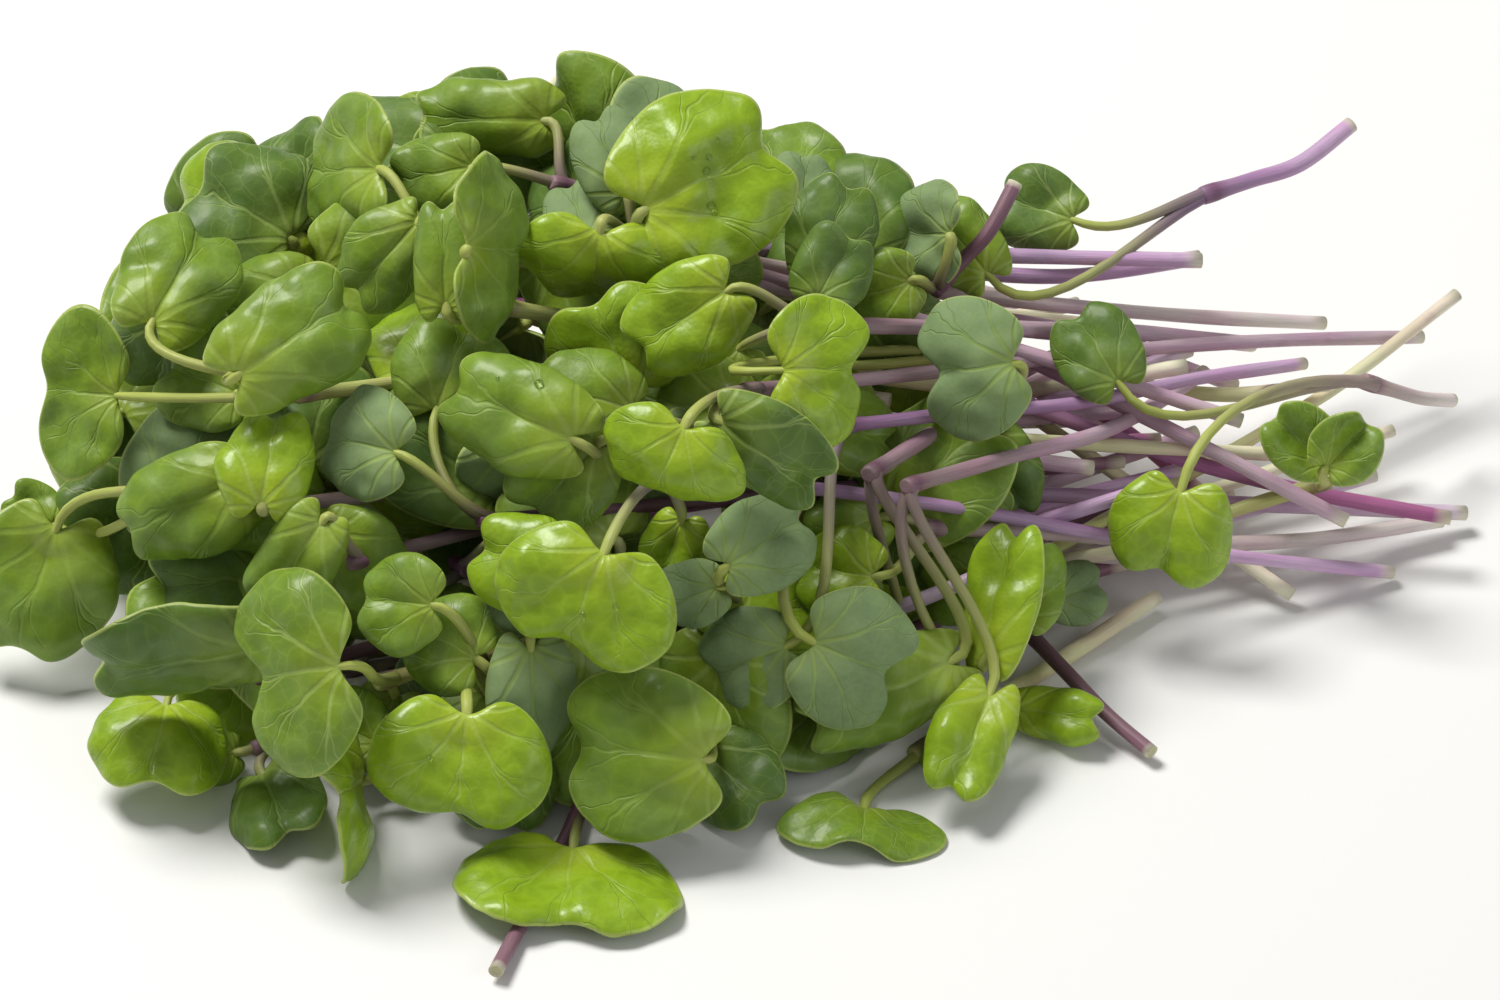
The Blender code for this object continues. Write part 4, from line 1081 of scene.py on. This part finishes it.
def dew_water():
    """Clear water."""
    material, shader, w = blank("Dew")
    place = w.add("ShaderNodeTexCoord", out="Object")
    w.feed(shader.inputs["Roughness"], w.ramp(w.noise(place, 700.0), 0.3, 0.8, 0.0, 0.03))
    shader.inputs["Base Color"].default_value = (0.93, 1.0, 0.88, 1.0)
    shader.inputs["Transmission Weight"].default_value = 1.0
    shader.inputs["IOR"].default_value = 1.33
    return material


def table_top(colour):
    """A plain pale board with the faintest mottle."""
    material, shader, w = blank("Table")
    place = w.add("ShaderNodeTexCoord", out="Object")
    mottle = w.noise(place, 14.0, 3.0)
    w.feed(shader.inputs["Base Color"], w.mix(w.times(mottle, 0.06), tuple(colour), (0.82, 0.82, 0.81)))
    w.feed(shader.inputs["Roughness"], w.plus(0.6, w.times(mottle, 0.15)))
    return material


def fine_leaf(spec, p, q):
    """The places of a fine leaf in millimetres, its flat coordinates, and how far out each place is."""
    length = spec["length"] * LEAF_GROWTH
    p = np.asarray(p)
    q = np.asarray(q)
    *flat, _, out = flat_leaf(spec, p, q, True)
    places = leaf_points(spec, p, q, relief(spec, flat, out), True) + spec["moved"][1]
    places[:, 2] = np.maximum(places[:, 2], LEAF_FLOOR)
    blade = np.column_stack([flat[0] / length, flat[1] / length, np.full(len(p), spec["px"] * 0.37)])
    return places, blade, out


def relief(spec, flat, out):
    """Height of a leaf's fine swellings: cushions between veins and an edge that turns down."""
    swell = []
    for x, y in zip(*flat):
        small = Vector((x * SMALL_SWELL[1], y * SMALL_SWELL[1], spec["px"] * 0.1))
        broad = Vector((x * BROAD_SWELL[1], y * BROAD_SWELL[1], spec["py"] * 0.1))
        swell.append(BROAD_SWELL[0] * noise.noise(broad) + SMALL_SWELL[0] * noise.noise(small))
    inside = 1.0 - out ** 6
    half = spec["width"] * LEAF_GROWTH / 2.0
    full = PILLOW[0] + PILLOW[1] * math.sin(spec["px"] * 1.3 + spec["py"])
    pillow = full * np.sin(np.pi * np.minimum(1.0, np.abs(flat[0]) / half)) ** 2
    trough = -TROUGH_DEPTH * np.exp(-(flat[0] / TROUGH_WIDTH) ** 2) * inside
    rise = np.minimum(1.0, np.hypot(flat[0], flat[1]) / 3.0)
    return (np.array(swell) + pillow) * rise + trough - EDGE_DROP * out ** 8


def finished(name, work, *skins):
    """Turns a worked mesh into an object of the scene that wears the given materials."""
    mesh = bpy.data.meshes.new(name)
    work.to_mesh(mesh)
    work.free()
    for skin in skins:
        mesh.materials.append(skin)
    piece = bpy.data.objects.new(name, mesh)
    bpy.context.scene.collection.objects.link(piece)
    return piece


def leaf_detail(item, spec, busy):
    """How many facets a fine leaf has each way: the seen and wide ones have the most."""
    if item["plain"]:
        return int(busy * HIDDEN_DETAIL)
    return int(busy * SMALL_DETAIL) if spec["width"] < SMALL_WIDTH else busy


def make_leaves(index, item, sizes, skins):
    """Both seed leaves of a sprout in one piece."""
    name = f"sprout_{index + 1:02d}_leaves"
    work = bmesh.new()
    weights = work.verts.layers.deform.verify()
    blade_layer = work.verts.layers.float_vector.new("blade")
    look_layer = work.verts.layers.float_vector.new("look")
    rim_layer = work.verts.layers.float.new("rim")
    for spec in item["leaves"]:
        cuts = leaf_detail(item, spec, sizes.leaf_facets)
        sheet = bmesh.ops.create_grid(work, x_segments=cuts, y_segments=cuts, size=1.0)["verts"]
        corners = np.array([corner.co[:2] for corner in sheet])
        places, blade, out = fine_leaf(spec, corners[:, 0], corners[:, 1])
        for corner, place, flat, rim in zip(sheet, places, blade, out):
            corner.co = to_frame(place)
            past = max(0.0, (rim - RIM_START) / (1.0 - RIM_START))
            corner[weights][0] = math.sqrt(max(0.0, 1.0 - past ** 3))
            corner[blade_layer] = flat
            corner[look_layer] = LEAF_LOOKS[spec["look"]]
            corner[rim_layer] = rim
    for face in work.faces:
        face.smooth = True
    piece = finished(name, work, *skins)
    piece.vertex_groups.new(name="body")
    thick = piece.modifiers.new("Thickness", "SOLIDIFY")
    thick.thickness = sizes.leaf_thickness
    thick.offset = 0.0
    thick.vertex_group = "body"
    thick.thickness_vertex_group = RIM_THICKNESS
    thick.material_offset = 1
    thick.use_quality_normals = True
    return piece


def smooth_line(knots, steps):
    """A smooth line through knots, with its places spread evenly between them."""
    knots = np.asarray(knots, dtype=float)
    before = 2 * knots[0] - knots[1]
    after = 2 * knots[-1] - knots[-2]
    line = np.vstack([before, knots, after])
    found = []
    for k in range(1, len(line) - 2):
        a, b, c, d = line[k - 1:k + 3]
        for t in np.arange(steps) / steps:
            found.append(0.5 * (2 * b + (c - a) * t + (2 * a - 5 * b + 4 * c - d) * t ** 2
                                + (3 * b - a - 3 * c + d) * t ** 3))
    found.append(line[-2])
    return np.array(found)


def hollow_cut(work, caps, end, ahead, radius, tint):
    """Sinks the pith in the cap at a stem's cut end."""
    place = to_frame(end)
    cap = min(caps, key=lambda face: (face.calc_center_median() - place).length)
    wall = radius * CUT_WALL * MM
    for face in bmesh.ops.inset_region(work, faces=[cap], thickness=wall, depth=0.0)["faces"]:
        for corner in face.verts:
            corner[tint] = CUT_RIM
    bmesh.ops.translate(work, verts=cap.verts, vec=Vector(-ahead * radius * CUT_DEPTH * MM))
    for corner in cap.verts:
        corner[tint] = PITH


def rolled_tube(work, path, radii, sides, paint, flatten, layers, hollow=False):
    """A grid rolled up round a path, with its ends closed or, at a cut end, a little hollow.

    paint gives the colour by how far along the path a place is, the path's length and the turn.
    """
    rings = len(path)
    sheet = bmesh.ops.create_grid(work, x_segments=sides, y_segments=rings - 1, size=1.0)["verts"]
    ahead = np.gradient(path, axis=0)
    ahead /= np.linalg.norm(ahead, axis=1)[:, None]
    side = np.cross(ahead[0], UP)
    sides_along = []
    for way in ahead:
        side = side - way * side.dot(way)
        side /= np.linalg.norm(side)
        sides_along.append(side)
    grain, tint = layers
    length = np.concatenate([[0], np.cumsum(np.linalg.norm(np.diff(path, axis=0), axis=1))])
    for corner in sheet:
        k = int(round((corner.co.y + 1.0) / 2.0 * (rings - 1)))
        turn = math.pi * (corner.co.x + 1.0)
        across = sides_along[k]
        over = np.cross(ahead[k], across)
        squeeze = flatten[k]
        place = path[k] + radii[k] * (across * math.cos(turn) + over * math.sin(turn) * squeeze)
        corner.co = to_frame(place)
        corner.co.z = max(corner.co.z, 0.00002)
        corner[grain] = (math.cos(turn) * 1.6, math.sin(turn) * 1.6, length[k] * 0.12 + path[0][0])
        corner[tint] = (*paint(length[k], length[-1], turn), 1.0)
    bmesh.ops.remove_doubles(work, verts=sheet, dist=1e-7)
    alive = [corner for corner in sheet if corner.is_valid]
    open_edges = list({edge for corner in alive for edge in corner.link_edges if edge.is_boundary})
    caps = bmesh.ops.holes_fill(work, edges=open_edges, sides=0)["faces"]
    if hollow:
        hollow_cut(work, caps, path[-1], ahead[-1], radii[-1], tint)


def stem_paint(tone, index):
    """The colour along a stem: its leaf end, its middle and its cut end, with soft patches."""
    top, middle, end = (np.array(colour) for colour in STEM_COLOURS[tone])

    def paint(run, whole, turn):
        drift = noise.noise(Vector((run * 0.09, index * 1.7, 0.4 * math.cos(turn))))
        share = min(1.0, max(0.0, run / whole + 0.22 * drift))
        if share < 0.5:
            colour = top + (middle - top) * share * 2
        else:
            colour = middle + (end - middle) * (share * 2 - 1)
        flush = noise.noise(Vector((run * 0.16, index * 3.1, 0.5 * math.sin(turn))))
        flushed = colour * np.array(STEM_FLUSH)
        colour = colour + (flushed - colour) * min(1.0, max(0.0, 0.4 + 1.6 * flush))
        node = NODE_DEPTH * math.exp(-((run - NODE_PLACE - 0.3 * drift) / 1.15) ** 2)
        return colour * (1 - node) + np.array(NODE_COLOUR) * node

    return paint


def petiole_paint(tone, index):
    """The colour along a petiole: the stem's at the node, then the pale yellow-green of the leaf's foot."""
    top = np.array(STEM_COLOURS[tone][0])
    foot = np.array(PETIOLE_FOOT)

    def paint(run, whole, turn):
        drift = 0.1 * noise.noise(Vector((run * 0.3, index * 2.3, turn * 0.2)))
        share = min(1.0, max(0.0, run / whole * 1.15 + drift))
        ease = share * share * (3 - 2 * share)
        return top * 0.85 * (1 - ease) + foot * ease

    return paint


def roll_petiole(work, spec, paint, sides, layers):
    """A petiole from its node to the leaf's foot, which runs on under the leaf as its midrib."""
    path = petiole_path(spec, np.linspace(0, 1, 14))
    vein = np.linspace(0.06, 0.42, 7)
    rib = fine_leaf(spec, np.zeros(len(vein)), vein * 2 - 1)[0]
    path = np.vstack([path[:-1], rib - spec["frame"][3] * 0.32])
    share = np.concatenate([np.linspace(0, 0.8, 13), np.linspace(0.84, 1.0, 7)])
    radii = np.interp(share, PETIOLE_SHARES, PETIOLE_RADII)
    flatten = np.interp(share, [0, 0.5, 0.8], [1.0, 0.9, 0.78])
    rolled_tube(work, path, radii, sides, paint, flatten, layers)


def make_stem(index, item, sizes, skin):
    """The stem of a sprout with its swollen node and its two petioles."""
    name = f"sprout_{index + 1:02d}_stem"
    work = bmesh.new()
    layers = (work.verts.layers.float_vector.new("grain"), work.verts.layers.float_color.new("stem_colour"))
    sides = sizes.stem_sides
    knots = item["stem"]
    ahead = knots[0] - knots[1]
    above = knots[0] + ahead / np.linalg.norm(ahead) * 0.5
    path = smooth_line(np.vstack([above, knots]), 8)[5:]
    run = np.concatenate([[0], np.cumsum(np.linalg.norm(np.diff(path, axis=0), axis=1))])
    draw = random.Random(SEED * 100 + index)
    radii = STEM_RADIUS * draw.uniform(*STEM_SLIM) * (1.0 + 0.04 * np.sin(run * 0.35 + index))
    radii += 0.16 * np.exp(-((run - NODE_PLACE) / 1.6) ** 2)
    radii[0] *= 0.7
    radii[1] *= 0.92
    paint = stem_paint(item["tone"], index)
    rolled_tube(work, path, radii, sides, paint, np.full(len(path), 0.94), layers, True)
    for which, spec in enumerate(item["leaves"]):
        paint = petiole_paint(item["tone"], index * 2 + which)
        roll_petiole(work, spec, paint, max(8, sides - 2), layers)
    for face in work.faces:
        face.smooth = len(face.verts) < 6
    bmesh.ops.recalc_face_normals(work, faces=work.faces)
    return finished(name, work, skin)


def dew_drop(work, place, face, size):
    """A flattened bead of water that sits on a leaf."""
    ball = bmesh.ops.create_icosphere(work, subdivisions=3, radius=1.0)["verts"]
    turn = Vector((0.0, 0.0, 1.0)).rotation_difference(Vector(face)).to_matrix().to_4x4()
    shape = Matrix.Diagonal((size * MM, size * MM, size * DROP_HEIGHT * MM, 1.0))
    lift = to_frame(place + face * size * DROP_LIFT)
    bmesh.ops.transform(work, matrix=Matrix.Translation(lift) @ turn @ shape, verts=ball)


class CressLeaves(PropertyGroup):
    leaf_thickness: FloatProperty(name="Leaf thickness", description="Thickness of a seed leaf's blade",
                                  default=0.00046, min=0.0002, max=0.0008, precision=5, unit="LENGTH")
    leaf_facets: IntProperty(name="Leaf facets", description="Facets each way over a wide leaf",
                             default=40, min=12, max=60)
    # The dark and the light end of a leaf's green: its own colour, with painted shade on deep leaves and
    # painted light on lit ones.
    dark: FloatVectorProperty(name="Shaded green", description="Green of the darkest leaves",
                              default=(0.058, 0.122, 0.018), subtype="COLOR", size=3)
    bright: FloatVectorProperty(name="Lit green", description="Green of the brightest leaves",
                                default=(0.275, 0.430, 0.014), subtype="COLOR", size=3)
    deep: FloatVectorProperty(name="Cushion green", description="Deeper green between the fine veins",
                              default=(0.050, 0.120, 0.008), subtype="COLOR", size=3)
    under: FloatVectorProperty(name="Underside", description="Greyer green of a leaf's underside",
                               default=(0.190, 0.280, 0.110), subtype="COLOR", size=3)
    # Pale wax colour, partly a painted reflection of the sky on glossy leaves.
    wax_and_sheen: FloatVectorProperty(name="Wax and sheen", description="Pale blue-green bloom on some leaves",
                             default=(0.265, 0.355, 0.215), subtype="COLOR", size=3)
    vein: FloatVectorProperty(name="Veins", description="Pale green of the veins",
                              default=(0.430, 0.550, 0.160), subtype="COLOR", size=3)
    foot: FloatVectorProperty(name="Leaf foot", description="Yellow-green where the petiole joins",
                              default=(0.420, 0.520, 0.030), subtype="COLOR", size=3)
    rim: FloatVectorProperty(name="Rim", description="Thin pale edge of a leaf",
                             default=(0.520, 0.600, 0.180), subtype="COLOR", size=3)


class CressStems(PropertyGroup):
    stem_sides: IntProperty(name="Stem sides", description="Facets round a stem", default=12, min=6, max=20)


class CressDew(PropertyGroup):
    drop_size: FloatProperty(name="Drop size", description="Radius of the largest dew drop",
                             default=0.00048, min=0.0002, max=0.001, precision=5, unit="LENGTH")


class CressStage(PropertyGroup):
    table: FloatVectorProperty(name="Table", description="Colour of the table",
                               default=(0.86, 0.86, 0.85), subtype="COLOR", size=3)
    key: FloatProperty(name="Main light", description="Power of the large soft light",
                       default=8.0, min=0.0)
    fill: FloatProperty(name="Fill light", description="Power of the light from the right",
                        default=1.6, min=0.0)
    sky: FloatProperty(name="Surrounding light", description="Strength of the even light",
                       default=0.27, min=0.0)


SIZES = {"cress_leaves": CressLeaves, "cress_stems": CressStems, "cress_dew": CressDew,
         "cress_stage": CressStage}
heap = []


def settled_heap():
    """The laid out sprouts, worked out once: those of the frame, then those that fill the heap."""
    if not heap:
        plan, settled = arrange()
        heap.extend(plan)
        heap.extend(fill_heap(heap, settled))
    return heap


def attach(piece, index):
    """Hands a finished piece over to the frame, in place of its solid if it has one."""
    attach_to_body(piece, "root")
    if index < SPROUT_COUNT:
        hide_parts(f"sprout_{index + 1:02d}")


class CRESS_OT_leaves(Operator):
    """Replaces the seed leaves of every sprout by fine ones"""

    bl_idname = "cress.leaves"
    bl_label = "Seed leaves"

    def execute(self, context):
        sizes = context.scene.cress_leaves
        groups = {"veins": palmate_veins(), "wax_and_sheen": wax_and_sheen_patches(), "grain": skin_grain()}
        colours = {name: tuple(getattr(sizes, name)) for name in
                   ("dark", "bright", "deep", "under", "wax_and_sheen", "vein", "foot", "rim")}
        skins = (leaf_skin("Leaf top", groups, colours, False),
                 leaf_skin("Leaf underside", groups, colours, True))
        for index, item in enumerate(settled_heap()):
            attach(make_leaves(index, item, sizes, skins), index)
        return {"FINISHED"}


class CRESS_OT_stems(Operator):
    """Replaces the stem and petioles of every sprout by fine ones"""

    bl_idname = "cress.stems"
    bl_label = "Stems and petioles"

    def execute(self, context):
        sizes = context.scene.cress_stems
        skin = stem_skin({"grain": bpy.data.node_groups["Skin grain"]})
        for index, item in enumerate(settled_heap()):
            attach(make_stem(index, item, sizes, skin), index)
        return {"FINISHED"}


class CRESS_OT_dew(Operator):
    """Sets a few dew drops on the brightest leaves"""

    bl_idname = "cress.dew"
    bl_label = "Dew drops"

    def execute(self, context):
        size = context.scene.cress_dew.drop_size / MM
        draw = random.Random(SEED + 5)
        work = bmesh.new()
        for index, which, count in DEWY_LEAVES:
            spec = settled_heap()[index]["leaves"][which]
            for _ in range(count):
                p = draw.uniform(-0.6, 0.6)
                q = draw.uniform(-0.3, 0.7)
                near = [p, p + 0.02, p], [q, q, q + 0.02]
                here, across, along = fine_leaf(spec, *near)[0]
                face = np.cross(across - here, along - here)
                face /= np.linalg.norm(face)
                face *= np.sign(face.dot(spec["frame"][3]))
                dew_drop(work, here + face * 0.2, face, size * draw.uniform(0.4, 1.0))
        for side in work.faces:
            side.smooth = True
        piece = finished("dew_drops", work, dew_water())
        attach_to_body(piece, "root")
        return {"FINISHED"}


def soft_light(name, place, target, size, power, colour):
    """A large round lamp that looks at a target."""
    lamp = bpy.data.lights.new(name, "AREA")
    lamp.shape = "DISK"
    lamp.size = size
    lamp.energy = power
    lamp.color = colour
    holder = bpy.data.objects.new(name, lamp)
    holder.location = place
    holder.rotation_euler = (Vector(target) - Vector(place)).to_track_quat("-Z", "Y").to_euler()
    bpy.context.scene.collection.objects.link(holder)


class CRESS_OT_stage(Operator):
    """Adds the table, the lights and the camera of the photograph"""

    bl_idname = "cress.stage"
    bl_label = "Table, light and camera"

    def execute(self, context):
        sizes = context.scene.cress_stage
        scene = context.scene
        work = bmesh.new()
        bmesh.ops.create_grid(work, x_segments=2, y_segments=2, size=2.0)
        bmesh.ops.translate(work, verts=work.verts, vec=(0.0, 0.0, -0.0001))
        board = finished("table", work, table_top(sizes.table))
        camera = bpy.data.cameras.new("camera")
        camera.lens = CAMERA_LENS
        camera.sensor_width = 36.0
        camera.clip_start = 0.05
        camera.clip_end = 20.0
        holder = bpy.data.objects.new("camera", camera)
        holder.location = to_frame(UP * PLANE_LIFT + NEAR * CAMERA_AWAY)
        holder.rotation_euler = (math.pi / 2 - ELEVATION, 0.0, 0.0)
        scene.collection.objects.link(holder)
        scene.camera = holder
        aim = (0.0, 0.0, 0.02)
        soft_light("main_light", (-0.32, 0.25, 0.78), aim, 0.38, sizes.key, (1.0, 0.985, 0.95))
        soft_light("fill_light", (0.75, -0.45, 0.45), aim, 0.6, sizes.fill, (0.94, 0.97, 1.0))
        world = bpy.data.worlds.new("studio")
        world.use_nodes = True
        sky = world.node_tree.nodes["Background"]
        sky.inputs["Color"].default_value = (1.0, 1.0, 1.0, 1.0)
        sky.inputs["Strength"].default_value = sizes.sky
        scene.world = world
        scene.view_settings.view_transform = "Standard"
        return {"FINISHED"}


class CRESS_PT_panel(Panel):
    """Lists the steps that dress the cress"""

    bl_label = "Radish cress"
    bl_idname = "CRESS_PT_panel"
    bl_space_type = "VIEW_3D"
    bl_region_type = "UI"
    bl_category = "Cress"

    def draw(self, context):
        for label, operator in (("cress_leaves", CRESS_OT_leaves), ("cress_stems", CRESS_OT_stems),
                                ("cress_dew", CRESS_OT_dew), ("cress_stage", CRESS_OT_stage)):
            box = self.layout.box()
            sizes = getattr(context.scene, label)
            for name in sizes.bl_rna.properties.keys():
                if name not in ("rna_type", "name"):
                    box.prop(sizes, name)
            box.operator(operator.bl_idname)


CLASSES = (CressLeaves, CressStems, CressDew, CressStage, CRESS_OT_leaves, CRESS_OT_stems, CRESS_OT_dew,
           CRESS_OT_stage, CRESS_PT_panel)


def register():
    for kind in CLASSES:
        bpy.utils.register_class(kind)
    for label, kind in SIZES.items():
        setattr(bpy.types.Scene, label, PointerProperty(type=kind))


def unregister():
    for label in SIZES:
        delattr(bpy.types.Scene, label)
    for kind in reversed(CLASSES):
        bpy.utils.unregister_class(kind)


def main():
    register()
    bpy.ops.cress.leaves()
    bpy.ops.cress.stems()
    bpy.ops.cress.dew()
    bpy.ops.cress.stage()
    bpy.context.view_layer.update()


if __name__ == "__main__":
    main()
